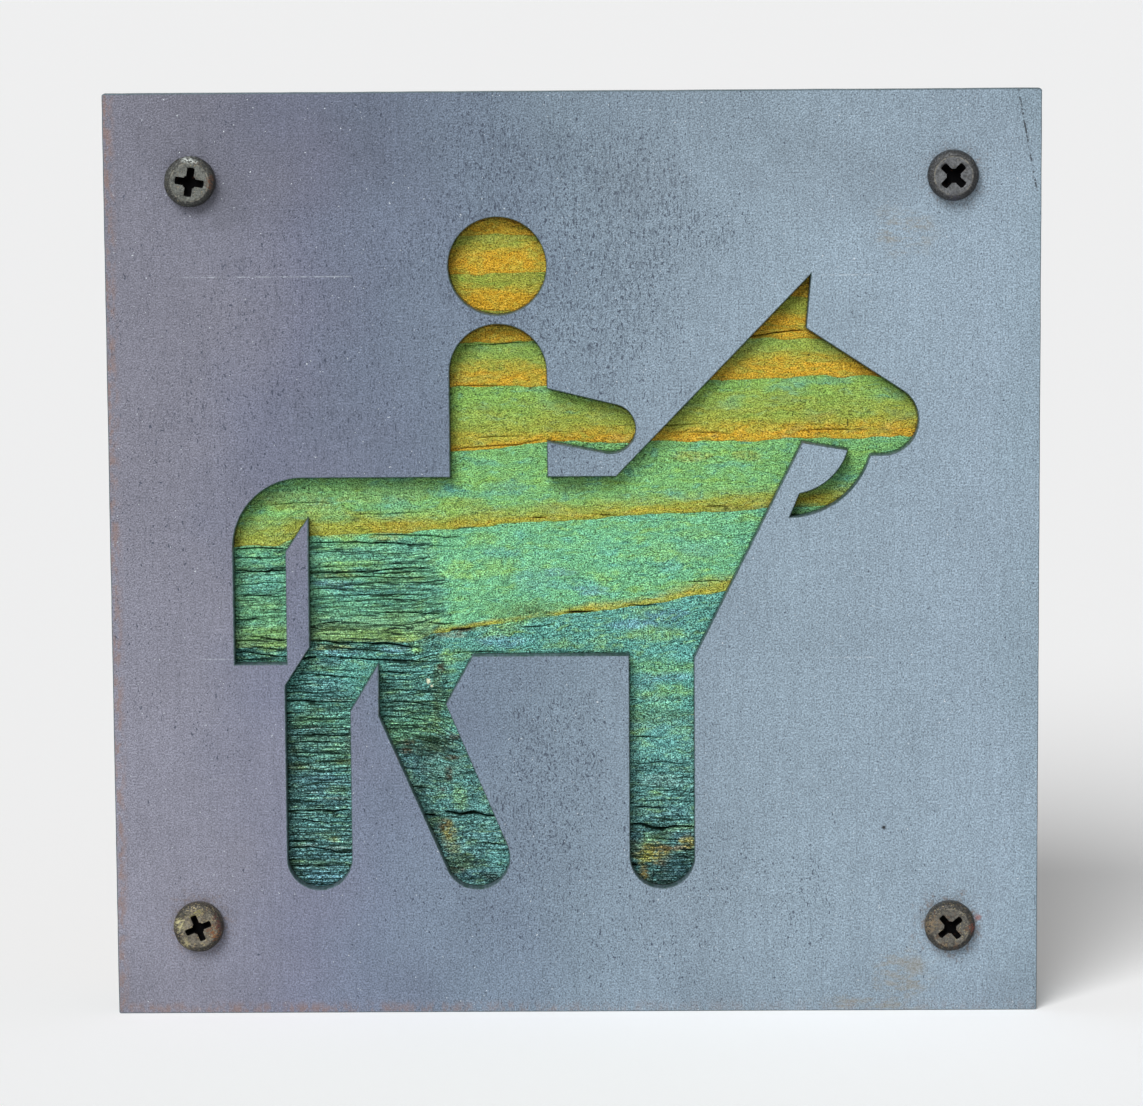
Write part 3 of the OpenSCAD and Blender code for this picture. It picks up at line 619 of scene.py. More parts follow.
def inset(loop, distance):
    """The loop moved to its left by a small distance."""
    here = np.array(loop, float)
    ahead = np.roll(here, -1, 0) - here
    ahead /= np.linalg.norm(ahead, axis=1)[:, None] + 1e-12
    behind = np.roll(ahead, 1, 0)
    left_a = np.stack([-ahead[:, 1], ahead[:, 0]], 1)
    left_b = np.stack([-behind[:, 1], behind[:, 0]], 1)
    middle = left_a + left_b
    middle /= np.linalg.norm(middle, axis=1)[:, None] + 1e-12
    reach = distance / np.maximum((middle * left_a).sum(1), 0.3)
    return here + middle * reach[:, None]


def clean(loop):
    """The loop without points that repeat the one before."""
    points = [np.array(p, float) for p in loop]
    return np.array([p for i, p in enumerate(points) if np.linalg.norm(p - points[i - 1]) > 0.005])


HEAD_MIDDLE = (RIDER_X, SHOULDER_Z + NECK_GAP + HEAD_R)
BODY_LOOP = clean(horse_and_rider())
HEAD_LOOP = clean(circle(HEAD_MIDDLE, HEAD_R, 96))


# Smooth random patterns for meshes

def smooth(value, low, high):
    """Rises smoothly from 0 at low to 1 at high."""
    t = np.clip((value - low) / (high - low), 0, 1)
    return t * t * (3 - 2 * t)


def ripple(x, z, size_x, size_z, seed):
    """Smooth noise from -1 to 1, whose waves have the given sizes."""
    table = np.random.default_rng(seed).uniform(-1, 1, (64, 64))
    u, v = np.asarray(x) / size_x + 500.0, np.asarray(z) / size_z + 500.0
    i, j = np.floor(u).astype(int), np.floor(v).astype(int)
    a, b = u - i, v - j
    a, b = a * a * (3 - 2 * a), b * b * (3 - 2 * b)
    low = table[i % 64, j % 64] * (1 - a) + table[(i + 1) % 64, j % 64] * a
    high = table[i % 64, (j + 1) % 64] * (1 - a) + table[(i + 1) % 64, (j + 1) % 64] * a
    return low * (1 - b) + high * b


# The wood's grain

def on_wood(z):
    """Where the wood lies that is seen at a height of the plate's front, from a little above."""
    return z - SEEN_DROP + SEEN_CHANGE * z


def ring_lines(x):
    """Heights of every ring's lower edge at one x, from the lowest up."""
    waves = 0.2 * float(ripple(x, 0, 9, 1, 11))
    return np.array([float(np.interp(x, *zip(*line))) + waves for line, *_ in RINGS[::-1]])


def knee_bend(x, z):
    """How strongly the grain dips to the right near the knee."""
    mx, mz, rx, rz, slope = KNEE_BEND
    return slope * np.exp(-(((x - mx) / rx) ** 2) - ((z - mz) / rz) ** 2)


def grain(x, z):
    """The wood's measures at points of the board: rings counted from the top, how high the ring is, how far
    up it is yellow and orange, how cool its green is, and the height straightened along the grain."""
    count = len(RINGS)
    steps = np.arange(count)[::-1].astype(float)
    still = ring_lines(0.0)
    curls = 0.24 * ripple(x, z, 3.1, 1.3, 13) + 0.14 * ripple(x, z, 1.5, 0.7, 14)
    z = z + (x + 24) * knee_bend(x, z) + curls * (1 - 0.85 * weathering(x, z))
    made = {name: np.zeros(len(x)) for name in ("rings", "high", "yellow", "orange", "cool", "level")}
    for here in np.unique(x):
        some = np.nonzero(x == here)[0]
        lines = ring_lines(here)
        rings = np.interp(z[some], lines, steps)
        ring = np.clip(np.ceil(rings - 1e-6).astype(int), 1, count - 1)
        made["rings"][some] = rings
        made["level"][some] = np.interp(z[some], lines, still)
        made["high"][some] = -np.diff(lines[::-1])[ring - 1]
        for name, column in (("yellow", 1), ("orange", 2), ("cool", 3)):
            values = [r[column] for r in RINGS]
            values = [float(np.interp(here, *zip(*v))) if isinstance(v, list) else v for v in values]
            made[name][some] = np.array(values)[ring]
    return made


def weathering(x, z):
    """How weathered the wood is, from 0 to 1."""
    worn = np.zeros(len(x))
    for mx, mz, rx, rz, strength in WEATHERED:
        away = np.hypot((x - mx) / rx, (z - mz) / rz) + 0.12 * ripple(x, z, 3, 1.2, 21)
        worn = np.maximum(worn, strength * (1 - smooth(away, 0.72, 1.08)))
    # a clear upright edge through the body, and the lower line of the amber band
    edge = np.interp(z, *zip(*WORN_EDGE)) + 0.6 * ripple(x, z, 2, 0.7, 22)
    worn = np.where(z > -26, worn * (1 - smooth(x, edge - 0.6, edge + 0.5)) + 0.85 * worn * (x > 0), worn)
    top = np.interp(x, *zip(*AMBER_LINE))
    return worn * (1 - smooth(z, top - 1.2, top + 0.2))


def stains(x, z):
    """Colour and strength of the stains at points of the board."""
    colour = np.zeros((len(x), 4))
    ragged = 0.22 * ripple(x, z, 1.3, 0.5, 24) + 0.16 * ripple(x, z, 3.1, 1.1, 25)
    for tone, spots in STAINS.values():
        for mx, mz, rx, rz, strength in spots:
            away = np.hypot((x - mx) / rx, (z - on_wood(mz)) / rz) / 1.35 + ragged
            share = strength * (1 - smooth(away, 0.45, 1.0))
            total = share + colour[:, 3] * (1 - share)
            weight = (share / np.maximum(total, 1e-9))[:, None]
            colour[:, :3] = colour[:, :3] * (1 - weight) + np.array(srgb(*tone)[:3]) * weight
            colour[:, 3] = total
    return colour


def grain_slope(x, z):
    """How fast the grain rises to the right near a point."""
    return float(np.interp(z, *zip(*GRAIN_RISE)) - knee_bend(x, z))


class Cracks:
    """Cracks on a grid of columns x and rows z: how deep they are, how far each point lies above or below the
    nearest one in half widths, and how open that one is there."""

    def __init__(self, x, z, seed):
        self.x, self.z = x, z
        self.rng = np.random.default_rng(seed)
        self.depth = np.zeros((len(x), len(z)))
        self.away = np.full((len(x), len(z)), 4.0)
        self.strength = np.zeros((len(x), len(z)))

    def add(self, xs, zs, half, deep):
        """One crack through points, from left to right."""
        some = np.nonzero((self.x > xs[0]) & (self.x < xs[-1]))[0]
        if len(some) < 2:
            return
        seed = int(self.rng.integers(1 << 30))
        x = self.x[some]
        still = 0 * x
        taper = np.sin(np.pi * ((x - xs[0]) / (xs[-1] - xs[0]))) ** 0.4
        middle = np.interp(x, xs, zs) + 0.07 * ripple(x, still, 1.6, 1, seed)
        middle += 0.03 * ripple(x, still, 0.7, 1, seed + 1)
        wide = np.maximum(half * taper * (0.8 + 0.45 * ripple(x, still, 1.9, 1, seed + 2)), 0.03)
        above = self.z[None, :] - middle[:, None]
        steps = np.clip(above / wide[:, None], -4, 4)
        nearer = np.abs(steps) < np.abs(self.away[some])
        self.away[some] = np.where(nearer, steps, self.away[some])
        openness = (taper * min(1.0, 0.45 + deep * 0.6))[:, None]
        self.strength[some] = np.where(nearer, openness, self.strength[some])
        groove = np.clip(1.3 - np.abs(above) / np.maximum(wide, 0.13)[:, None], 0, 1)
        self.depth[some] = np.maximum(self.depth[some], groove * deep * taper[:, None])

    def add_random(self, tries):
        """Fine random ones, only where the wood is weathered."""
        rng = self.rng
        for _ in range(tries):
            x, z = rng.uniform(-58, 22), rng.uniform(-55, 4)
            if rng.uniform() > weathering(np.array([x]), np.array([z]))[0] + 0.15:
                continue
            half_long = rng.uniform(1.5, 16) / 2 if z > -15 else rng.uniform(2, 14) / 2
            rise = (grain_slope(x, z) + rng.normal(0, 0.015)) * half_long
            xs, zs = (x - half_long, x, x + half_long), (z - rise, z + rng.normal(0, 0.05), z + rise)
            self.add(xs, zs, rng.uniform(0.04, 0.08), rng.uniform(0.1, 0.3))
        worn = weathering(*grid_points(self.x, self.z)).reshape(self.depth.shape)
        self.depth *= worn
        self.strength *= 0.95 * worn

    def add_known(self):
        """The larger ones, each in its place."""
        for half, deep, *line in CRACKS:
            self.add(line[::2], [on_wood(z) for z in line[1::2]], half, deep)


def grid_points(x, z):
    """All points of a grid of columns x and rows z, as two flat lists."""
    across, up = np.meshgrid(x, z, indexing="ij")
    return across.ravel(), up.ravel()


# Materials

def srgb(red, green, blue):
    """A colour as a screen writes it, from 0 to 255, made linear."""
    def line(v):
        v /= 255
        return v / 12.92 if v <= 0.04045 else ((v + 0.055) / 1.055) ** 2.4
    return (line(red), line(green), line(blue), 1.0)


class Wire:
    """What comes out of a node. Sums, products and the like of wires are nodes as well."""

    def __init__(self, finish, socket):
        self.finish, self.socket = finish, socket

    def __add__(self, other):
        return self.finish.maths("ADD", self, other)

    def __radd__(self, other):
        return self.finish.maths("ADD", other, self)

    def __sub__(self, other):
        return self.finish.maths("SUBTRACT", self, other)

    def __rsub__(self, other):
        return self.finish.maths("SUBTRACT", other, self)

    def __mul__(self, other):
        return self.finish.maths("MULTIPLY", self, other)

    def __truediv__(self, other):
        return self.finish.maths("DIVIDE", self, other)

    def __pow__(self, other):
        return self.finish.maths("POWER", self, other)

    def __abs__(self):
        return self.finish.maths("ABSOLUTE", self)


class Finish:
    """A material, its nodes and its colour so far. Sizes are in millimetres."""

    def __init__(self, name, roughness=0.5, metallic=0.0, specular=0.5):
        self.material = bpy.data.materials.new(name)
        self.material.use_nodes = True
        tree = self.material.node_tree
        self.nodes, self.links = tree.nodes, tree.links
        self.colour = None
        self.shader = self.nodes["Principled BSDF"]
        self.shader.inputs["Roughness"].default_value = roughness
        self.shader.inputs["Metallic"].default_value = metallic
        self.shader.inputs["Specular IOR Level"].default_value = specular
        metres = Wire(self, self.node("TexCoord").outputs["Object"])
        self.place = self.vector("MULTIPLY", metres, (1 / MM,) * 3)
        self.x, self.y, self.z = (Wire(self, out) for out in self.node("SeparateXYZ", self.place).outputs)

    def put(self, socket, value):
        if isinstance(value, Wire):
            self.links.new(value.socket, socket)
        else:
            socket.default_value = value

    def node(self, kind, *inputs, **settings):
        """A new node with its first inputs filled."""
        node = self.nodes.new("ShaderNode" + kind)
        for name, value in settings.items():
            setattr(node, name, value)
        for socket, value in zip(node.inputs, inputs):
            self.put(socket, value)
        return node

    def vector(self, operation, *inputs):
        node = self.node("VectorMath", *inputs, operation=operation)
        return Wire(self, node.outputs["Value" if operation == "LENGTH" else "Vector"])

    def maths(self, operation, a, b=0.0, clamp=False):
        return Wire(self, self.node("Math", a, b, operation=operation, use_clamp=clamp).outputs[0])

    def scale(self, value, low, high, out_low=0.0, out_high=1.0, kind="SMOOTHSTEP"):
        """Maps a value's range to another, softly, held at its ends."""
        node = self.node("MapRange", value, low, high, out_low, out_high, interpolation_type=kind)
        return Wire(self, node.outputs[0])

    def even(self, value, low, high, out_low=0.0, out_high=1.0):
        """Maps a value's range to another in a straight line, held at its ends."""
        return self.scale(value, low, high, out_low, out_high, "LINEAR")

    def noise(self, size, detail, roughness, shift, at=None):
        """Noise from 0 to 1 whose patches have the given size; shift picks another pattern."""
        sizes = size if isinstance(size, tuple) else (size,) * 3
        where = self.vector("MULTIPLY", at or self.place, tuple(1 / s for s in sizes))
        where = self.vector("ADD", where, (shift, shift * 0.7 + 3.1, shift * 1.3 + 7.7))
        node = self.node("TexNoise")
        for name, value in (("Vector", where), ("Scale", 1.0), ("Detail", detail), ("Roughness", roughness)):
            self.put(node.inputs[name], value)
        return Wire(self, node.outputs[0])

    def ramp(self, value, *stops):
        """Colours between stops of (position, red, green, blue)."""
        node = self.node("ValToRGB", value)
        band = node.color_ramp
        while len(band.elements) < len(stops):
            band.elements.new(0.5)
        for element, (position, *tone) in zip(band.elements, stops):
            element.position = position
            element.color = srgb(*tone)
        return Wire(self, node.outputs[0])

    def mix(self, share, a, b):
        node = self.node("Mix", share, data_type="RGBA")
        self.put(node.inputs[6], a)
        self.put(node.inputs[7], b)
        return Wire(self, node.outputs[2])

    def coat(self, share, *tone):
        """Lays a colour over the colour so far, where the share is above 0."""
        self.colour = self.mix(share, self.colour, srgb(*tone))

    def shade(self, *factors):
        """Makes the colour so far darker or lighter by grey factors."""
        for factor in factors:
            node = self.node("VectorMath", self.colour, operation="SCALE")
            self.put(node.inputs["Scale"], factor)
            self.colour = Wire(self, node.outputs["Vector"])

    def patch(self, x, z, half_x, half_z, ragged, size, shift):
        """A soft spot round a place on the face, with an uneven rim."""
        away = self.vector("SUBTRACT", self.place, (x, 0, z))
        length = self.vector("LENGTH", self.vector("MULTIPLY", away, (1 / half_x, 0, 1 / half_z)))
        uneven = self.even(self.noise(size, 3, 0.6, shift), 0.2, 0.8, -ragged, ragged)
        return self.scale(length + uneven, 1.0, 0.25)

    def patches(self, *spots):
        """The strongest of several soft spots, each with its strength as the last number."""
        return self.most(*[self.scale(self.patch(*spot), 0, 1, 0, strength) for *spot, strength in spots])

    def most(self, *values):
        """The largest of several masks."""
        result = values[0]
        for value in values[1:]:
            result = self.maths("MAXIMUM", result, value)
        return result

    def attribute(self, name, part="Fac"):
        return Wire(self, self.node("Attribute", attribute_name=name).outputs[part])

    def bump(self, height, depth, strength):
        """Relief of the given depth, from a height between 0 and 1."""
        node = self.node("Bump")
        for name, value in (("Strength", strength), ("Distance", depth * MM), ("Height", height)):
            self.put(node.inputs[name], value)
        self.put(self.shader.inputs["Normal"], Wire(self, node.outputs[0]))

    def done(self, roughness=None):
        self.put(self.shader.inputs["Base Color"], self.colour)
        if roughness is not None:
            self.put(self.shader.inputs["Roughness"], roughness)
        return self.material


def mill_scale_and_sheen(f):
    """The plate's colour and painted sheen from left to right, with clouds, rolling marks and a fine bite,
    which is returned.
    """
    across = f.x + f.even(f.noise(20, 2, 0.5, 1), 0.25, 0.75, -6, 6)
    # violet grey on the left to blue grey on the right; the lightening to the right is a painted sheen
    f.colour = f.ramp(
        f.even(across, -PLATE / 2, PLATE / 2),
        (0.0, 118, 118, 130), (0.1, 116, 117, 130), (0.2, 107, 111, 129), (0.3, 103, 113, 131),
        (0.4, 107, 121, 137), (0.5, 118, 134, 148), (0.62, 126, 142, 155), (0.75, 133, 150, 163),
        (0.95, 136, 153, 167), (1.0, 131, 149, 162),
    )
    # darker along the upper and lower edges, lighter in the lower left
    height = f.z + f.even(f.noise(12, 2, 0.5, 15), 0.3, 0.7, -5, 5)
    diagonal = f.x * -1.0 + f.z * -1.0
    f.shade(
        f.scale(height, 78, 48, 0.89, 1.0), f.scale(diagonal, 20, 120, 0.96, 1.16),
        f.scale(height, -60, -76, 1.0, 0.9), f.scale(f.patch(-48, 66, 30, 20, 0.3, 14, 16), 0, 1, 1.0, 0.9),
    )
    bite = f.noise((0.25, 0.25, 0.28), 1, 0.5, 4)
    f.shade(
        f.even(f.noise(13, 3, 0.55, 2), 0.3, 0.7, 0.95, 1.05),
        f.even(f.noise((1.3, 1.3, 1.7), 3, 0.6, 3), 0.25, 0.75, 0.93, 1.07),
        f.even(f.noise((0.5, 1, 9), 2, 0.5, 5), 0.3, 0.7, 0.95, 1.05),
        1.0 + f.even(bite, 0.25, 0.75, -0.5, 0.5) * f.scale(f.x, -60, 0, 0.78, 1.0),
    )
    return bite


def pits(f):
    """Soft pits, densest in the upper middle, fewer dark ones, smudges and bright flecks. Gives the pits."""
    dense = f.patches(
        (-4, 50, 44, 40, 0.45, 14, 6, 0.1), (4, -56, 52, 26, 0.45, 9, 7, 0.07),
        (-5, -38, 18, 26, 0.4, 6, 42, 0.11), (-30, 12, 70, 80, 0.5, 14, 8, 0.06),
    )
    speck = f.noise((0.28, 0.3, 0.5), 1, 0.5, 9) + dense
    marks = f.noise((0.26, 0.3, 1.7), 2, 0.6, 17) + dense * f.scale(f.z, 0, 20, 0.6, 1.4)
    dark = f.noise((0.45, 0.45, 0.7), 1, 0.5, 10) + dense
    pit = f.most(f.scale(speck, 0.71, 0.77, 0, 0.7), f.scale(marks, 0.7, 0.78, 0, 0.45))
    pit = f.most(pit, f.scale(dark, 0.735, 0.79, 0, 0.8))
    f.coat(pit, 52, 60, 76)
    smudges = f.patches(
        (11, 60, 11, 9, 0.5, 5, 18, 0.1), (22, -60, 20, 12, 0.6, 5, 19, 0.04),
        (-56, 57, 6, 7, 0.5, 3, 20, 0.25), (42, 62, 18, 12, 0.5, 6, 44, 0.11),
        (73, -73, 14, 10, 0.5, 5, 45, 0.11),
    )
    f.coat(smudges, 74, 76, 84)
    f.coat(f.scale(f.noise(0.42, 1, 0.5, 12), 0.77, 0.8, 0, 0.8), 205, 212, 218)
    return pit


def plate_rust(f):
    """Brown along the left and lower edges, level streaks of rust, and stains round three of the screws."""
    rim = f.most(f.scale(f.x, -72.6, -74.4), f.scale(f.z, -72.5, -74.5) * f.scale(f.x, 30, -50, 0.3, 1.0))
    rim = rim * f.scale(f.noise((1.2, 1, 2.5), 4, 0.7, 21), 0.4, 0.65, 0, 0.55)
    streaks = f.scale(f.noise((2.6, 1, 0.9), 4, 0.75, 22), 0.4, 0.64)
    rust = f.most(
        f.patch(53, 52.5, 6.5, 5, 0.5, 3, 23) * streaks, f.patch(53, -69, 7, 5, 0.5, 3, 24) * streaks,
        f.patch(55, -67.5, 2.6, 2.2, 0.5, 2, 25) * 0.9, f.patch(48, -74, 12, 2, 0.6, 3, 26) * streaks,
    )
    flecks = f.scale(f.noise((0.7, 1, 0.4), 3, 0.7, 43), 0.5, 0.6)
    f.coat(rust * 0.5, 142, 134, 118)
    f.coat(rust * flecks * 0.4, 92, 88, 70)
    f.coat(rim, 134, 104, 88)
    for number, (corner, strength) in enumerate(RUSTY_SCREWS):
        (x, z), _ = FACE_SCREWS[corner]
        uneven = f.scale(f.noise(0.5, 3, 0.7, 34 + number), 0.42, 0.6)
        f.coat(f.patch(x, z, 6.6, 6.6, 0.5, 1.2, 30 + number) * uneven * strength, 112, 88, 66)
    f.coat(f.patch(65.3, -59.6, 0.8, 0.7, 0.5, 0.5, 38) * 0.6, 146, 84, 72)


def scratches(f):
    """Hairlines and one dark dotted scratch near the right edge, on the plate's front only."""
    front_only = f.scale(f.y, FRONT + 1.0, FRONT + 0.5)
    lines = []
    for x0, x1, z in SCRATCHES:
        near = f.scale(abs(f.z - z), 0.16, 0.04)
        lines.append(near * (f.scale(f.x, x0 - 1, x0 + 1) * f.scale(f.x, x1 + 1, x1 - 1)))
    broken = f.scale(f.noise((1.1, 1, 1), 3, 0.6, 39), 0.4, 0.58, 0.04, 0.3) * front_only
    f.coat(f.most(*lines) * broken, 196, 204, 212)
    slant = f.x - f.even(f.z, 75, 58, 71.2, 74.4)
    scratch = f.scale(abs(slant), 0.22, 0.08) * f.scale(f.z, 57, 60)
    scratch = scratch * f.scale(f.noise(0.8, 2, 0.6, 40), 0.45, 0.55, 0, 0.8) * front_only
    f.coat(f.most(scratch, f.patch(50.0, -44.6, 0.55, 0.5, 0.3, 0.5, 41)), 22, 23, 26)


def steel_finish(name):
    f = Finish(name, metallic=0.35, specular=0.4)
    bite = mill_scale_and_sheen(f)
    pit = pits(f)
    plate_rust(f)
    scratches(f)
    f.bump(f.scale(bite, 0.2, 0.8) - pit, 0.06, 0.7)
    return f.done(f.even(f.noise(2.5, 3, 0.6, 14), 0.3, 0.7, 0.46, 0.6))


def cut_finish(name):
    """The cut edge: bare steel, with painted shade where it meets the wood, and dark at the sharp front edge.
    """
    f = Finish(name, roughness=0.55, metallic=0.3, specular=0.4)
    stripes = f.noise((0.3, 6, 0.3), 2, 0.6, 1)
    f.colour = f.ramp(stripes, (0.25, 64, 82, 86), (0.5, 84, 102, 110), (0.8, 112, 128, 140))
    outermost = f.most(abs(f.x), abs(f.z))
    smears = f.scale(f.noise((0.7, 3, 0.7), 3, 0.65, 3), 0.46, 0.6, 0, 0.75) * f.scale(outermost, 72, 70)
    f.coat(smears, 46, 74, 68)
    lip = f.scale(f.y, FRONT + 0.2, FRONT + 0.04, 0, 0.2)
    # painted shade: the wall grows dark toward the wood, where the gap between steel and wood is shaded
    joint_shade = f.scale(f.y, JOIN - 0.8, JOIN - 0.3, 0, 0.95)
    f.coat(f.most(lip, joint_shade), 38, 40, 42)
    f.coat(f.scale(f.noise(3, 3, 0.6, 2), 0.6, 0.72, 0, 0.35), 92, 74, 56)
    f.bump(stripes, 0.06, 0.6)
    return f.done()


class StainedWood(Finish):
    """The board's stained face. Masks come from the board's mesh, fibres from noise along the grain."""

    def __init__(self, name):
        super().__init__(name, roughness=0.75, specular=0.1)
        self.worn, self.cool = self.attribute("worn"), self.attribute("cool")
        # coordinates that follow the grain and curl a little
        curl = self.even(self.noise((2.2, 2.2, 1.4), 2, 0.5, 10), 0.25, 0.75, -0.4, 0.4)
        self.levelled = self.attribute("level") + curl * self.scale(self.worn, 0, 1, 1.0, 0.2)
        self.along = Wire(self, self.node("CombineXYZ", self.x, self.y, self.levelled).outputs[0])
        self.wool = self.noise((0.25, 0.25, 0.18), 1, 0.5, 1)
        self.strokes = self.fibre((1.0, 2, 0.2), 2, 0.65, 2)
        self.knots = self.fibre((0.9, 0.9, 0.5), 2, 0.6, 3)
        self.ridges = self.fibre((9, 3, 0.17), 3, 0.6, 6)
        # where each point lies in its ring, counted down to the lower edge
        high = self.attribute("high")
        jitter = self.even(self.wool, 0.2, 0.8, -0.05, 0.05) / high
        self.left = (1.0 - self.maths("FRACT", self.attribute("rings") + jitter)) * high

    def fibre(self, size, detail, roughness, shift):
        """Noise that follows the grain."""
        return self.noise(size, detail, roughness, shift, self.along)


def wood_rings(f):
    """Green rings, each with a yellow and an orange zone above its lower edge."""
    cool, worn = f.cool, f.worn
    soft = f.scale(cool, 0.0, 0.12, 0.95, 1.5)
    ragged = f.even(f.fibre((5, 3, 1.1), 3, 0.6, 4), 0.2, 0.8, 0.6, 1.4)
    zones = []
    for thick in (f.attribute("yellow"), f.attribute("orange")):
        zones.append(f.scale((thick * ragged - f.left) / (thick * soft), -0.5, 0.5))
    yellow, orange = zones
    # in the cooler rings the orange is a broken streak a little above the edge
    streak = f.scale(f.left, 0.1, 0.6) * f.scale(f.fibre((3, 3, 0.7), 3, 0.6, 14), 0.4, 0.6)
    orange = orange * f.most(streak, f.scale(cool, 0.4, 0.2)) * f.scale(cool, 0.2, 0.5, 1.0, 0.5)
    patchy = f.scale(f.fibre((2.2, 2, 0.7), 2, 0.6, 12), 0.36, 0.58, 0.5, 1.1)
    orange = f.maths("MULTIPLY", orange * f.even(f.strokes, 0.3, 0.6, 1.1, 0.8), patchy, clamp=True)
    f.yellow = yellow * f.scale(worn, 0, 1, 1.0, 0.4)
    f.orange = orange * f.scale(worn, 0, 1, 1.0, 0.2)
    f.colour = f.ramp(
        cool * 0.5,
        (0.0, 143, 148, 60), (0.03, 122, 155, 78), (0.07, 124, 166, 86), (0.25, 116, 170, 106),
        (0.4, 107, 171, 127), (0.6, 89, 150, 138), (0.8, 88, 138, 133), (1.0, 82, 125, 128),
    )
    f.coat(f.yellow, 148, 154, 62)
    f.coat(f.orange, 192, 150, 42)


def wood_drifts(f):
    """Yellower and bluer drifts, then the stains that the mesh holds."""
    tuft = f.fibre((2.4, 2, 0.7), 2, 0.6, 8)
    drift = f.fibre((8, 4, 2.6), 2, 0.5, 5)
    lively = f.scale(f.yellow + f.orange, 0, 1, 1.0, 0.3)
    warm = f.scale(tuft, 0.52, 0.72, 0, 0.38) + f.scale(drift, 0.52, 0.72, 0, 0.4)
    cold = f.scale(tuft, 0.46, 0.28, 0, 0.38) + f.scale(drift, 0.46, 0.28, 0, 0.35)
    cold = cold * f.scale(f.cool, 0.0, 0.2, 0.15, 1.0)
    f.coat(warm * lively, 132, 170, 72)
    f.coat(cold * lively, 84, 154, 150)
    f.coat(f.worn * 0.25, 88, 134, 140)
    uneven = f.scale(f.fibre((0.9, 0.9, 0.45), 3, 0.6, 15), 0.36, 0.54, 0.4, 1.0)
    share = f.attribute("stain", "Alpha") * uneven
    f.colour = f.mix(share, f.colour, f.attribute("stain", "Color"))


def wood_nap(f):
    """A woolly nap of lighter and darker fibres, darker and with more contrast in weathered wood."""
    cool = f.cool
    tone = f.even(f.wool, 0.25, 0.75, 0.08, 2.14)
    for factor in (
        f.even(f.strokes, 0.3, 0.7, 0.58, 1.44), f.even(f.knots, 0.3, 0.7, 0.84, 1.16),
        f.scale(f.strokes, 0.6, 0.68, 1.0, 0.66),
        f.scale(f.noise((0.45, 0.45, 0.22), 1, 0.5, 16), 0.64, 0.72, 1.0, 0.5),
    ):
        tone = tone * factor
    ridged = f.even(f.ridges, 0.3, 0.7, 0.5, 1.54) ** f.scale(cool, 0.8, 1.2, 1.0, 1.5)
    deep = tone ** f.scale(cool, 0.8, 1.2, 1.12, 1.75) * ridged * f.scale(cool, 0.8, 1.4, 1.0, 0.83)
    tone = tone ** f.scale(cool, 0.1, 0.4, 0.82, 1.0)
    plain = tone ** f.scale(cool, 0.5, 1.3, 1.0, 1.62) * f.scale(cool, 0.7, 1.2, 1.0, 0.92)
    shading = plain + f.worn * (deep - plain)
    f.shade(shading)
    f.coat(f.scale(shading, 1.2, 2.8, 0, 0.2), 190, 200, 190)


def wood_cracks(f):
    """Fine splits in weathered wood, the larger cracks of the mesh, and painted shade along the cut-out's
    edges.
    """
    worn, cool = f.worn, f.cool
    splits = []
    for spacing, long, seed in ((0.9, 18, 7), (0.62, 12, 27)):
        bend = f.even(f.fibre((long, 3, 1.3), 1, 0.5, seed), 0.25, 0.75, -0.7, 0.7)
        middle = abs(f.maths("FRACT", f.levelled / spacing + bend) - 0.5) * spacing
        broken = f.fibre((long * 0.5, 3, 0.5), 2, 0.6, seed + 1) + f.scale(cool, 0.75, 1.1, -0.05, 0.05)
        splits.append(f.scale(middle, 0.09, 0.035) * f.scale(broken, 0.45, 0.55, 0, 0.95))
    splits.append(f.scale(f.fibre((3, 3, 0.2), 2, 0.6, 29), 0.35, 0.31, 0, 0.9))
    fine = f.most(*splits) * f.scale(worn, 0.0, 0.9)
    cut = f.scale(abs(f.attribute("away")), 1.05, 0.45) * f.scale(f.attribute("near"), 2.6, 2.0)
    cut = cut * f.scale(f.attribute("open"), 0.0, 0.7, 0.0, 0.94)
    # painted shade along the inside of the cut-out, reaching further under its upper edges
    shade_inwards = f.attribute("edge_shade_reach") + f.even(f.strokes, 0.3, 0.7, -0.1, 0.1)
    painted_edge_shade = f.scale(shade_inwards, 0.3, 0.03, 0, 0.6)
    # cracks and the painted edge shade are green-black, but brown in the amber bands
    tone = f.mix(f.yellow * f.scale(worn, 0, 1, 1.0, 0.3), srgb(15, 38, 29), srgb(44, 28, 14))
    f.colour = f.mix(f.most(cut, fine, painted_edge_shade), f.colour, tone)
    seam = f.scale(f.left, 0.22, 0.05, 0, 0.5) * f.scale(f.strokes, 0.35, 0.6)
    f.coat(seam * f.scale(cool, 1.0, 0.8), 84, 66, 28)


def wood_spots(f):
    """A few dark marks and one pale fleck."""
    marks = [f.patch(x, on_wood(z), half_x, half_z, 0.4, 0.4, 50) for x, z, half_x, half_z in WOOD_MARKS]
    f.coat(f.most(*marks) * 0.8, 58, 58, 24)
    flecks = f.patch(-23.9, -20.7, 0.5, 0.55, 0.5, 0.4, 51), f.patch(-23.4, -21.5, 0.3, 0.3, 0.5, 0.3, 52)
    f.coat(f.most(*flecks), 232, 236, 206)


def wood_finish(name):
    f = StainedWood(name)
    wood_rings(f)
    wood_drifts(f)
    wood_nap(f)
    wood_cracks(f)
    wood_spots(f)
    f.bump(f.wool + (f.knots + f.strokes) + f.ridges * f.worn, 0.22, 0.9)
    return f.done(f.even(f.orange, 0, 1, 0.78, 0.62))


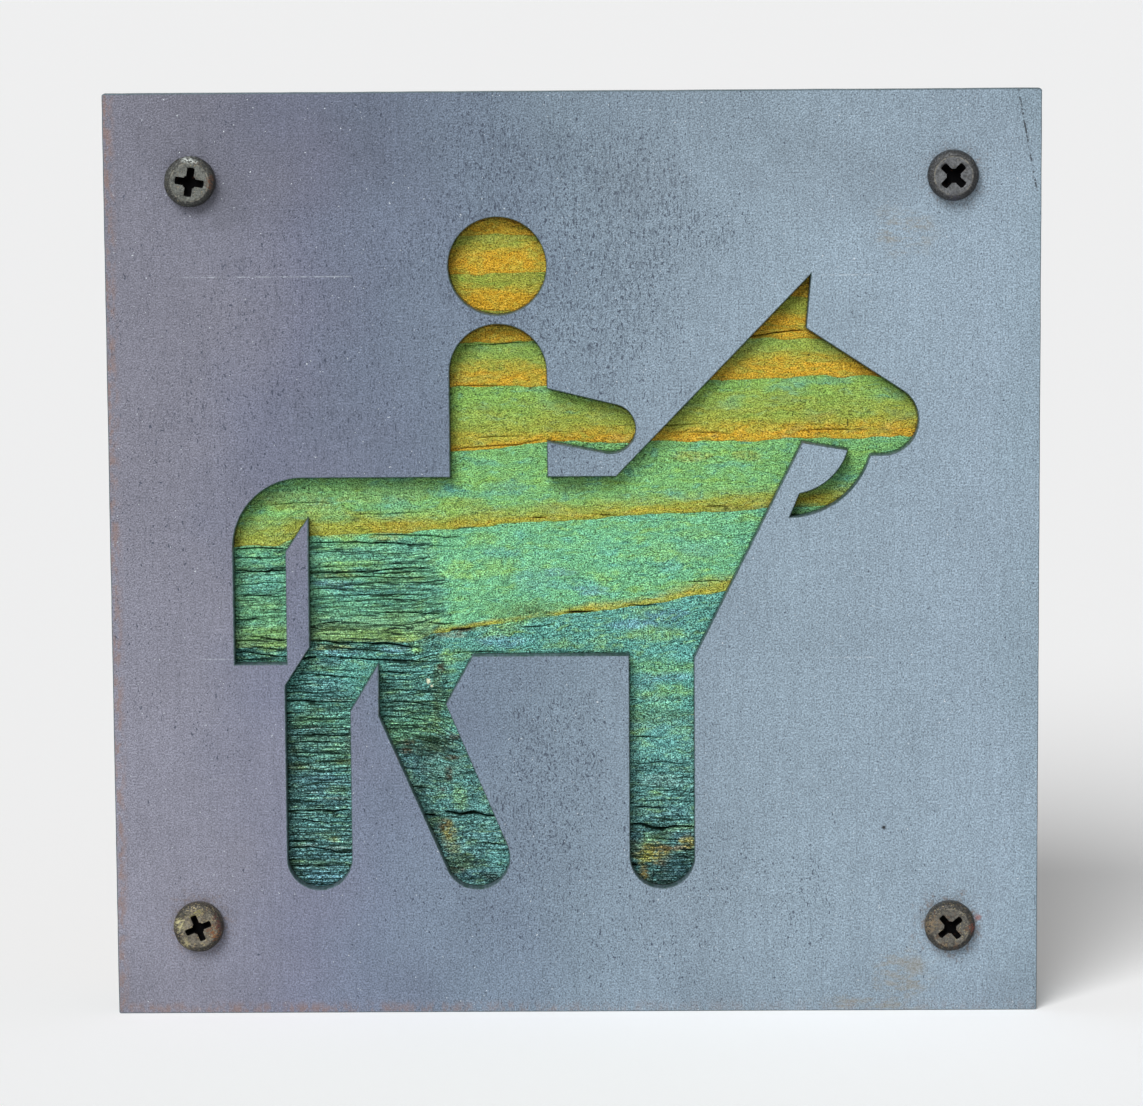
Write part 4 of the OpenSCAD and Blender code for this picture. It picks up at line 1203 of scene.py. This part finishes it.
def raw_wood_finish(name):
    f = Finish(name, roughness=0.75, specular=0.25)
    waves = f.even(f.noise((40, 20, 6), 2, 0.5, 1), 0.3, 0.7, -2.5, 2.5)
    rings = f.maths("FRACT", (f.z + waves) / 5.2)
    tones = (0, 188, 160, 118), (0.6, 176, 142, 98), (0.92, 146, 106, 66), (1, 180, 150, 108)
    f.colour = f.ramp(rings, *tones)
    fibres = f.noise((6, 3, 0.3), 4, 0.65, 2)
    f.shade(f.even(fibres, 0.25, 0.75, 0.78, 1.18))
    f.coat(f.scale(f.noise((30, 20, 12), 3, 0.6, 3), 0.4, 0.7, 0.1, 0.55), 132, 124, 108)
    f.bump(fibres, 0.12, 0.8)
    return f.done()


def screw_finish(name, turn, seed, rust, crust, flat_tone, marks):
    """A weathered pan head turned by some degrees: rust is how brown it is, crust how speckled, flat_tone the
    colour of its flat, and marks are worn spots: x, z, half width, half height, colour."""
    f = Finish(name, metallic=0.35, specular=0.4)

    def tones(*stops):
        return [(position, *[c * share for c in flat_tone]) for position, share in stops]

    around = f.vector("LENGTH", f.vector("MULTIPLY", f.place, (1, 0, 1)))
    speck = f.noise((0.3, 0.3, 0.3), 3, 0.7, seed)
    blotch = f.noise(1.0, 3, 0.6, seed + 5)
    rim = f.ramp(speck, *tones((0.32, 0.34), (0.5, 0.6), (0.62, 0.86), (0.75, 1.3)))
    flat = f.ramp(speck * 0.6 + blotch * 0.4, *tones((0.36, 0.62), (0.5, 1), (0.62, 1.25)))
    uneven = f.even(blotch, 0.2, 0.8, -0.25, 0.25)
    f.colour = f.mix(f.scale(around + uneven, 3.25, 2.9), rim, flat)
    # a painted highlight: a pale ring where the flat meets the rim
    edge_highlight = f.scale(f.noise(1.4, 3, 0.6, seed + 6), 0.45, 0.6, 0.05, 0.45)
    f.coat(f.scale(abs(around - 3.05), 0.16, 0.05) * edge_highlight, 150, 146, 132)
    brown = f.noise(1.1, 4, 0.7, seed + 2)
    f.coat(f.scale(brown, 0.66 - rust * 0.2, 0.8 - rust * 0.18, 0, 0.6), 92, 66, 42)
    pale = f.noise(0.3, 2, 0.6, seed + 3)
    f.coat(f.scale(pale, 0.7 - crust * 0.14, 0.76 - crust * 0.14, 0, 0.7), 158, 146, 112)
    red = f.noise(0.26, 2, 0.6, seed + 8)
    f.coat(f.scale(red, 0.8 - rust * 0.14, 0.84 - rust * 0.14, 0, 0.7), 150, 84, 50)
    black = f.noise((0.4, 0.4, 0.34), 2, 0.65, seed + 9)
    black = f.scale(black, 0.62 - crust * 0.07, 0.67 - crust * 0.07, 0, 0.85)
    f.coat(black * f.scale(around, 2.4, 3.2, 0.25, 1.0), 34, 35, 34)
    # painted shade on the rim's lower right side, away from the light
    sine, cosine = math.sin(math.radians(turn)), math.cos(math.radians(turn))
    shade_side = f.x * (0.8 * cosine - 0.6 * sine) + f.z * (-0.8 * sine - 0.6 * cosine)
    f.coat(f.scale(shade_side, 0.5, 4.0) * f.scale(around, 2.7, 3.4, 0, 0.62), 22, 22, 22)
    for x, z, half_x, half_z, tone in marks:
        spot = f.patch(x, z, half_x, half_z, 0.5, 0.5, seed + 10)
        f.coat(spot * f.scale(f.noise((0.5, 0.5, 0.2), 2, 0.6, seed + 11), 0.4, 0.6), *tone)
    f.bump(speck + blotch, 0.12, 0.8)
    return f.done(f.even(speck, 0.3, 0.7, 0.62, 0.42))


def recess_shade_and_dirt_finish(name):
    """The cross recess: near-black, a painted shade with dirt, and a little rust."""
    f = Finish(name, roughness=0.95, specular=0.05)
    f.colour = srgb(6, 6, 7)
    f.coat(f.scale(f.noise(0.6, 3, 0.6, 3), 0.62, 0.72), 44, 26, 18)
    return f.done()


def zinc_finish(name, tone, dull):
    f = Finish(name, metallic=0.9)
    clouds = f.noise((2.5, 2.5, 4), 3, 0.6, 1)
    brushed = f.noise((0.15, 1, 9), 2, 0.6, 2)
    f.colour = f.ramp(clouds, (0.3, *dull), (0.65, *tone))
    f.shade(f.even(brushed, 0.3, 0.7, 0.92, 1.06))
    f.bump(brushed, 0.02, 0.5)
    return f.done(f.even(clouds, 0.3, 0.7, 0.5, 0.32))


def pale_finish(name, tone):
    """A matt floor, paler where it is seen, mirrored or through glass. The object gets no more light."""
    f = Finish(name, roughness=0.9, specular=0.1)
    f.colour = (tone, tone, tone, 1)
    path = f.node("LightPath")
    seen = f.most(*[Wire(f, path.outputs[ray]) for ray in SEEN_RAYS])
    f.shader.inputs["Emission Color"].default_value = FLOOR_GLOW_TONE
    f.put(f.shader.inputs["Emission Strength"], seen * FLOOR_GLOW)
    return f.done()


steel = steel_finish("steel")
cut_steel = cut_finish("cut_steel")
stained = wood_finish("stained_wood")
raw_wood = raw_wood_finish("raw_wood")
recess_shade_and_dirt = recess_shade_and_dirt_finish("recess_shade_and_dirt")
zinc = zinc_finish("zinc", (206, 208, 206), (170, 174, 176))
yellow_zinc = zinc_finish("yellow_zinc", (208, 190, 120), (172, 156, 104))


# Meshes and pieces

class Shell:
    """A closed mesh put together from loops of points, in millimetres."""

    def __init__(self):
        self.bm = bmesh.new()

    def ring(self, points):
        """A loop of vertices at (x, y, z) points."""
        verts = [self.bm.verts.new(Vector(p) * MM) for p in points]
        for a, b in zip(verts, verts[1:] + verts[:1]):
            self.bm.edges.new((a, b))
        return verts

    def level(self, loop, y):
        """A loop of vertices at (x, z) points that all lie at the same y."""
        return self.ring([(p[0], y, p[1]) for p in loop])

    def face(self, corners, slot, soft):
        made = self.bm.faces.new(corners)
        made.material_index = slot
        made.smooth = soft

    def walls(self, rings, slot=0, flat=False):
        """Faces between loops of as many vertices, from each to the next."""
        for first, second in zip(rings, rings[1:]):
            for i in range(len(first)):
                j = (i + 1) % len(first)
                self.face((first[i], first[j], second[j], second[i]), slot, not flat)

    def tip(self, ring, point, slot=0):
        """Closes a loop with faces that meet at a point."""
        top = self.bm.verts.new(Vector(point) * MM)
        for a, b in zip(ring, ring[1:] + ring[:1]):
            self.face((a, b, top), slot, True)

    def fill(self, rings, slot=0, more=()):
        """Flat faces between loops that lie at one y."""
        edges = list(more)
        for ring in rings:
            edges += [self.bm.edges.get((a, b)) for a, b in zip(ring, ring[1:] + ring[:1])]
        made = bmesh.ops.triangle_fill(self.bm, use_beauty=True, edges=edges, normal=(0, -1, 0))
        for part in made["geom"]:
            if isinstance(part, bmesh.types.BMFace):
                part.material_index = slot
                part.smooth = False

    def pit(self, middle, radius, start, end, tip_y, count):
        """A round hole with a pointed floor in the raw wood. Returns its mouth."""
        loop = circle(middle, radius, count)
        mouth, low = self.level(loop, start), self.level(loop, end)
        self.walls([mouth, low], slot=1)
        self.tip(low, (middle[0], tip_y, middle[1]), slot=1)
        return mouth

    def finish(self, name, finishes, slot, node, place=(0, 0, 0), turn=(0, 0, 0)):
        """The object, riding on the one body in the CAD node's stead."""
        bmesh.ops.recalc_face_normals(self.bm, faces=self.bm.faces)
        mesh = bpy.data.meshes.new(name)
        self.bm.to_mesh(mesh)
        self.bm.free()
        for finish in finishes:
            mesh.materials.append(finish)
        piece = bpy.data.objects.new(name, mesh)
        bpy.context.scene.collection.objects.link(piece)
        piece.location = Vector(place) * MM
        piece.rotation_euler = [math.radians(a) for a in turn]
        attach(piece, "root")
        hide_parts(node)
        return piece


def edge_rows(radius, depth_of, count=3):
    """(inset, y) rows of a rounded edge. depth_of turns a depth below the face into y."""
    rows = []
    for i in range(count):
        turn = math.radians(90 * i / (count - 1))
        rows.append((radius * (1 - math.sin(turn)), depth_of(radius * (1 - math.cos(turn)))))
    return rows


def sheet_rows(radius, front, back, count=3):
    """(inset, y) rows over both rounded edges of a sheet, from its front to its back."""
    near = edge_rows(radius, lambda d: front + d, count)
    return near, edge_rows(radius, lambda d: back - d, count)[::-1]


def face_plate():
    shell = Shell()
    rng = np.random.default_rng(5)
    outer = np.array(rounded_square(PLATE, PLATE_CORNER, PLATE_STEP))
    wear = rng.uniform(0, PLATE_WEAR, outer.shape)
    outer = outer - np.sign(outer) * (np.abs(outer) > PLATE / 2 - PLATE_RIM) * wear
    loops = [outer, BODY_LOOP, HEAD_LOOP]
    loops += [clean(circle(place, SCREW_HOLE_R, 40)) for place, _ in FACE_SCREWS.values()]
    near, far = sheet_rows(CUT_ROUND, FRONT, JOIN)
    fronts, backs = [], []
    for loop in loops:
        rows = [shell.level(inset(loop, CUT_ROUND + CUT_BURN), FRONT)]
        rows += [shell.level(inset(loop, i), y) for i, y in near + far]
        shell.walls(rows[:2], slot=1, flat=True)
        shell.walls(rows[1:], slot=1)
        fronts.append(rows[0])
        backs.append(rows[-1])
    shell.fill(fronts)
    shell.fill(backs)
    shell.finish("face_plate_steel", [steel, cut_steel], "raw_steel", "face_plate")


def inside_figure(x, z):
    """Whether each point lies in the cut-out, how far it is from the outline, and how straight up that is."""
    inside = np.zeros(len(x), bool)
    near, upward = np.full(len(x), 1e9), np.zeros(len(x))
    for loop in (BODY_LOOP, HEAD_LOOP):
        for a, b in zip(loop, np.roll(loop, -1, 0)):
            run = b - a
            share = np.clip(((x - a[0]) * run[0] + (z - a[1]) * run[1]) / (run @ run), 0, 1)
            across, rise = a[0] + share * run[0] - x, a[1] + share * run[1] - z
            gap = np.hypot(across, rise)
            upward = np.where(gap < near, rise / np.maximum(gap, 1e-6), upward)
            near = np.minimum(near, gap)
            if run[1] != 0:
                crosses = (a[1] > z) != (b[1] > z)
                inside ^= crosses & (x < a[0] + (z - a[1]) / run[1] * run[0])
    return inside, near, upward


def carved_front(shell):
    """The part of the board's face that shows through the figure, with its cracks and the reach of the
    painted edge shade. Returns its rim.
    """
    xs = np.arange(-VIEW_X, VIEW_X + 0.01, STEP_X)
    zs = np.arange(VIEW_LOW, VIEW_HIGH, STEP_Z)
    cracks = Cracks(xs, zs, CRACK_SEED)
    cracks.add_random(CRACK_TRIES)
    cracks.add_known()
    shape = cracks.depth.shape
    x, z = grid_points(xs, zs)
    inside, near, upward = inside_figure(x, z)
    reach = np.where(inside, 0.0, near)
    fibre = 0.5 + 0.5 * ripple(x, z, 4.0, 0.45, 31)
    soft_rise = 0.5 + 0.5 * ripple(x, z, 11, 2.2, 32)
    fibre_depth = FIBRE_DEPTH + WORN_DEPTH * weathering(x, z)
    depth = cracks.depth.ravel() + WAVE_DEPTH * soft_rise + fibre * fibre_depth
    depth = (depth * (1 - smooth(reach, 0.4, HIDDEN - 0.2))).reshape(shape)
    keep = (reach < HIDDEN).reshape(shape)
    cells = keep[:-1, :-1] & keep[1:, :-1] & keep[:-1, 1:] & keep[1:, 1:]
    wanted = np.zeros(shape, bool)
    for i, j in ((0, 0), (1, 0), (0, 1), (1, 1)):
        wanted[i:shape[0] - 1 + i, j:shape[1] - 1 + j] |= cells
    # how far inside the outline each point lies, less under upper edges; it sets the painted shade along the
    # cut-out
    edge_shade_reach = np.where(inside, near - 0.4 * np.maximum(upward, 0), -near).reshape(shape)
    fields = {"away": cracks.away, "near": np.abs(cracks.away), "open": cracks.strength, "edge_shade_reach": edge_shade_reach}
    layers = {name: shell.bm.verts.layers.float.new(name) for name in fields}
    verts = {}
    for i, j in zip(*np.nonzero(wanted)):
        vert = shell.bm.verts.new((xs[i] * MM, (JOIN + max(depth[i, j], 0)) * MM, zs[j] * MM))
        for name, layer in layers.items():
            vert[layer] = fields[name][i, j]
        verts[i, j] = vert
    for i, j in zip(*np.nonzero(cells)):
        shell.face((verts[i, j], verts[i + 1, j], verts[i + 1, j + 1], verts[i, j + 1]), 0, True)
    return [e for e in shell.bm.edges if len(e.link_faces) == 1]


def hanger_pocket(shell, x):
    """A hanger's pocket in the board's back, with its keyhole room and pilot holes. Returns its mouth."""
    middle = (x, HANGER_Z)
    end = HANGER_L / 2 - HANGER_R
    edge = clean(slot_loop(middle, HANGER_R + POCKET_GAP, -end, end))
    room = clean(slot_loop(middle, ROOM_R, ENTRY_Z, SLOT_END_Z))
    mouth = shell.level(inset(edge, POCKET_ROUND), 0)
    floor = shell.level(edge, -HANGER_T)
    shell.walls([mouth, shell.level(edge, -POCKET_ROUND), floor], slot=1)
    room_top, room_low = shell.level(room, -HANGER_T), shell.level(room, ROOM_Y)
    shell.walls([room_top, room_low], slot=1)
    shell.fill([room_low], slot=1)
    pilots = []
    for side in (-1, 1):
        spot = (x, HANGER_Z + side * SMALL_RISE)
        pilots.append(shell.pit(spot, PILOT_R, -HANGER_T, PILOT_Y + PILOT_TIP, PILOT_Y, 24))
    shell.fill([floor, room_top] + pilots, slot=1)
    return mouth


def backing_board():
    shell = Shell()
    rim = carved_front(shell)
    outer = np.array(rounded_square(BOARD, BOARD_CORNER, BOARD_STEP))
    near, far = sheet_rows(BOARD_ROUND, JOIN, 0, 4)
    middle = [(0.0, y) for y in np.linspace(near[-1][1], far[0][1], 8)[1:-1]]
    rows = []
    for row, (step, y) in enumerate(near + middle + far):
        loop = inset(outer, step + BOARD_SLACK)
        along = np.arange(len(loop))
        wear = BOARD_WEAR + BOARD_WEAR * ripple(along, along * 0 + row, 3.0, 1.5, 41)
        worn = (np.abs(loop) > BOARD / 2 - BOARD_RIM) * wear[:, None] * (step < BOARD_ROUND - 0.01)
        rows.append(shell.level(loop - np.sign(loop) * worn, y))
    shell.walls(rows)
    holes = []
    for place, _ in FACE_SCREWS.values():
        holes.append(shell.pit(place, WOOD_HOLE_R, JOIN, WOOD_HOLE_Y - HOLE_TIP, WOOD_HOLE_Y, 32))
    shell.fill([rows[0]] + holes, more=rim)
    shell.fill([rows[-1]] + [hanger_pocket(shell, x) for x in HANGERS.values()], slot=1)
    piece = shell.finish("backing_board_wood", [stained, raw_wood], "stained_wood", "backing_board")
    spots = np.array([v.co for v in piece.data.vertices]) / MM
    x, z = spots[:, 0], spots[:, 2]
    for name, values in {**grain(x, z), "worn": weathering(x, z)}.items():
        layer = piece.data.attributes.new(name, "FLOAT", "POINT")
        layer.data.foreach_set("value", values.astype(np.float32))
    layer = piece.data.attributes.new("stain", "FLOAT_COLOR", "POINT")
    layer.data.foreach_set("color", stains(x, z).astype(np.float32).ravel())


def cross_loop(half, wing, core, count=3):
    """The outline of a cross recess, with round corners, anticlockwise."""
    points = []
    corner = math.degrees(math.asin(min(wing / core, 0.95)))
    arm = [(half - wing * 0.25, -wing), (half, -wing * 0.45), (half, wing * 0.45), (half - wing * 0.25, wing)]
    arm += arc((0, 0), core, corner, 90 - corner, (90 - 2 * corner) / count + 1e-6)[:count + 1]
    for quarter in range(4):
        cosine, sine = math.cos(math.radians(90 * quarter)), math.sin(math.radians(90 * quarter))
        points += [(x * cosine - z * sine, x * sine + z * cosine) for x, z in arm]
    return points


def spin(radii, y):
    """Points round the Y axis, one for each radius."""
    turns = [2 * math.pi * i / len(radii) for i in range(len(radii))]
    return [(r * math.cos(a), y, r * math.sin(a)) for r, a in zip(radii, turns)]


def screw(name, node, finishes, slot, place, turn, head, neck, radius, length, pitch, recess, segments=64):
    """A screw whose head faces local -Y. head is its rim as (radius, height) rows from the flat outwards."""
    shell = Shell()
    rings = []
    for r, height in head:
        radii = [r + HEAD_WAVES * float(ripple(i, height * 3, 2.5, 1, 61)) for i in range(segments)]
        rings.append(shell.ring(spin(radii, -height)))
    top = head[0][1]
    # the recess: a worn lip, tapering walls, and a pointed floor
    half, wing, core, deep = recess
    last = len(finishes) - 1
    layers = []
    for share, spread in RECESS_ROWS:
        loop = cross_loop(half * spread, wing * (0.7 + 0.3 * spread), core * (0.75 + 0.25 * spread))
        layers.append(shell.level(loop, deep * share - top))
    shell.fill([rings[0], layers[0]])
    shell.walls(layers[:2], flat=True)
    # the recess walls and floor take the last finish, the near-black painted shade with dirt
    shell.walls(layers[1:], slot=last, flat=True)
    shell.tip(layers[-1], (0, deep * RECESS_TIP - top, 0), slot=last)
    # the shank: a plain neck, then a helical thread that thins out to the point
    rows = max(8, int((length - neck) / (pitch / THREAD_ROWS)))
    root = radius * THREAD_ROOT
    for y in (NECK_STEP - head[-1][1], neck):
        rings.append(shell.ring(spin([radius * THREAD_NECK] * segments, y)))
    for row in range(1, rows):
        down = neck + (length - neck) * row / rows
        taper = min(1.0, (length - down) / (radius * THREAD_POINT)) ** POINT_SHAPE
        start = min(1.0, (down - neck) / pitch)
        radii = []
        for i in range(segments):
            phase = (down / pitch - i / segments) % 1.0
            crest = max(0.0, 1 - abs(phase - 0.5) / THREAD_CREST)
            radii.append((root + (radius - root) * crest * start) * taper)
        rings.append(shell.ring(spin(radii, down)))
    shell.walls(rings)
    shell.tip(rings[-1], (0, length, 0))
    shell.finish(name, finishes, slot, node, place, turn)


def screws():
    for corner, ((x, z), turn) in FACE_SCREWS.items():
        finish = screw_finish("screw_" + corner, turn, *SCREW_LOOKS[corner])
        name = "face_screw_" + corner
        screw(
            name + "_threaded", name, [finish, recess_shade_and_dirt], "weathered_screw", (x, FRONT, z), (0, -turn, 0),
            PAN_HEAD, PAN_NECK, SCREW_R, SCREW_L, PAN_PITCH, WORN_CROSSES.get(corner, CROSS),
        )
    for hand, x in HANGERS.items():
        for level, side, turn in (("upper", 1, 18), ("lower", -1, 63)):
            name = f"hanger_screw_{hand}_{level}"
            place = (x, 0, HANGER_Z + side * SMALL_RISE)
            screw(
                name + "_threaded", name, [yellow_zinc], "yellow_zinc", place, (0, turn, 180),
                SMALL_HEAD, SMALL_NECK, SMALL_R, SMALL_L, SMALL_PITCH, SMALL_CROSS, 40,
            )


def hanger_plates():
    end = HANGER_L / 2 - HANGER_R
    for hand, x in HANGERS.items():
        shell = Shell()
        outer = clean(slot_loop((x, HANGER_Z), HANGER_R, -end, end))[::-1]
        notch = HANGER_Z + ENTRY_Z + math.sqrt(KEYHOLE_R**2 - SLOT_R**2)
        entry, top = (x, HANGER_Z + ENTRY_Z), (x, HANGER_Z + SLOT_END_Z)
        keyhole = arc(top, SLOT_R, 180, 0, 8)
        keyhole += round_to(entry, KEYHOLE_R, (x + SLOT_R, notch), (x - SLOT_R, notch), step=8)
        far, near = sheet_rows(HANGER_ROUND, -HANGER_T, 0)
        columns = []
        for loop in (outer, clean(keyhole)):
            columns.append([shell.level(inset(loop, i), y) for i, y in near[::-1] + far[::-1]])
        for side in (-1, 1):
            spot = (x, HANGER_Z + side * SMALL_RISE)
            columns.append([shell.level(circle(spot, r, 40), y) for r, y in SINK])
        for rows in columns:
            shell.walls(rows)
        shell.fill([rows[0] for rows in columns])
        shell.fill([rows[-1] for rows in columns])
        name = "hanger_plate_" + hand
        shell.finish(name + "_zinc", [zinc], "zinc_plate", name)


face_plate()
backing_board()
screws()
hanger_plates()


# Floor, light and camera

def stage():
    mesh = bpy.data.meshes.new("floor")
    corners = [(x * FLOOR_HALF, y * FLOOR_HALF, cad_low.z) for x, y in ((-1, -1), (1, -1), (1, 1), (-1, 1))]
    mesh.from_pydata(corners, [], [(0, 1, 2, 3)])
    mesh.materials.append(pale_finish("pale_floor", FLOOR_TONE))
    floor = bpy.data.objects.new("floor", mesh)
    bpy.context.scene.collection.objects.link(floor)


def sky():
    """A soft light from all round that is seen as a pale backdrop, also mirrored or through glass."""
    scene = bpy.context.scene
    scene.world = scene.world or bpy.data.worlds.new("studio")
    scene.world.use_nodes = True
    nodes, links = scene.world.node_tree.nodes, scene.world.node_tree.links
    nodes.clear()
    path, mix = nodes.new("ShaderNodeLightPath"), nodes.new("ShaderNodeMixShader")
    seen = path.outputs[SEEN_RAYS[0]]
    for name in SEEN_RAYS[1:]:
        either = nodes.new("ShaderNodeMath")
        either.operation = "MAXIMUM"
        links.new(seen, either.inputs[0])
        links.new(path.outputs[name], either.inputs[1])
        seen = either.outputs[0]
    links.new(seen, mix.inputs[0])
    for socket, tone, strength in ((mix.inputs[1], 1, SKY_LIGHT), (mix.inputs[2], SKY_SEEN, 1.0)):
        light = nodes.new("ShaderNodeBackground")
        light.inputs["Color"].default_value = (tone, tone, tone, 1)
        light.inputs["Strength"].default_value = strength
        links.new(light.outputs[0], socket)
    links.new(mix.outputs[0], nodes.new("ShaderNodeOutputWorld").inputs[0])


def sun():
    lamp = bpy.data.lights.new("key", "SUN")
    lamp.energy = SUN_POWER
    lamp.angle = math.radians(SUN_WIDTH)
    key = bpy.data.objects.new("key", lamp)
    bpy.context.scene.collection.objects.link(key)
    key.rotation_euler = Vector(SUN_FROM).to_track_quat("Z", "Y").to_euler()


def camera():
    data = bpy.data.cameras.new("photo_view")
    data.sensor_fit = "HORIZONTAL"
    data.sensor_width = 36.0
    data.lens = LENS
    view = bpy.data.objects.new("photo_view", data)
    view.location = CAMERA_PLACE
    view.rotation_euler = [math.radians(a) for a in CAMERA_TURN]
    bpy.context.scene.collection.objects.link(view)
    bpy.context.scene.camera = view


stage()
sky()
sun()
camera()
bpy.context.scene.view_settings.view_transform = "Standard"
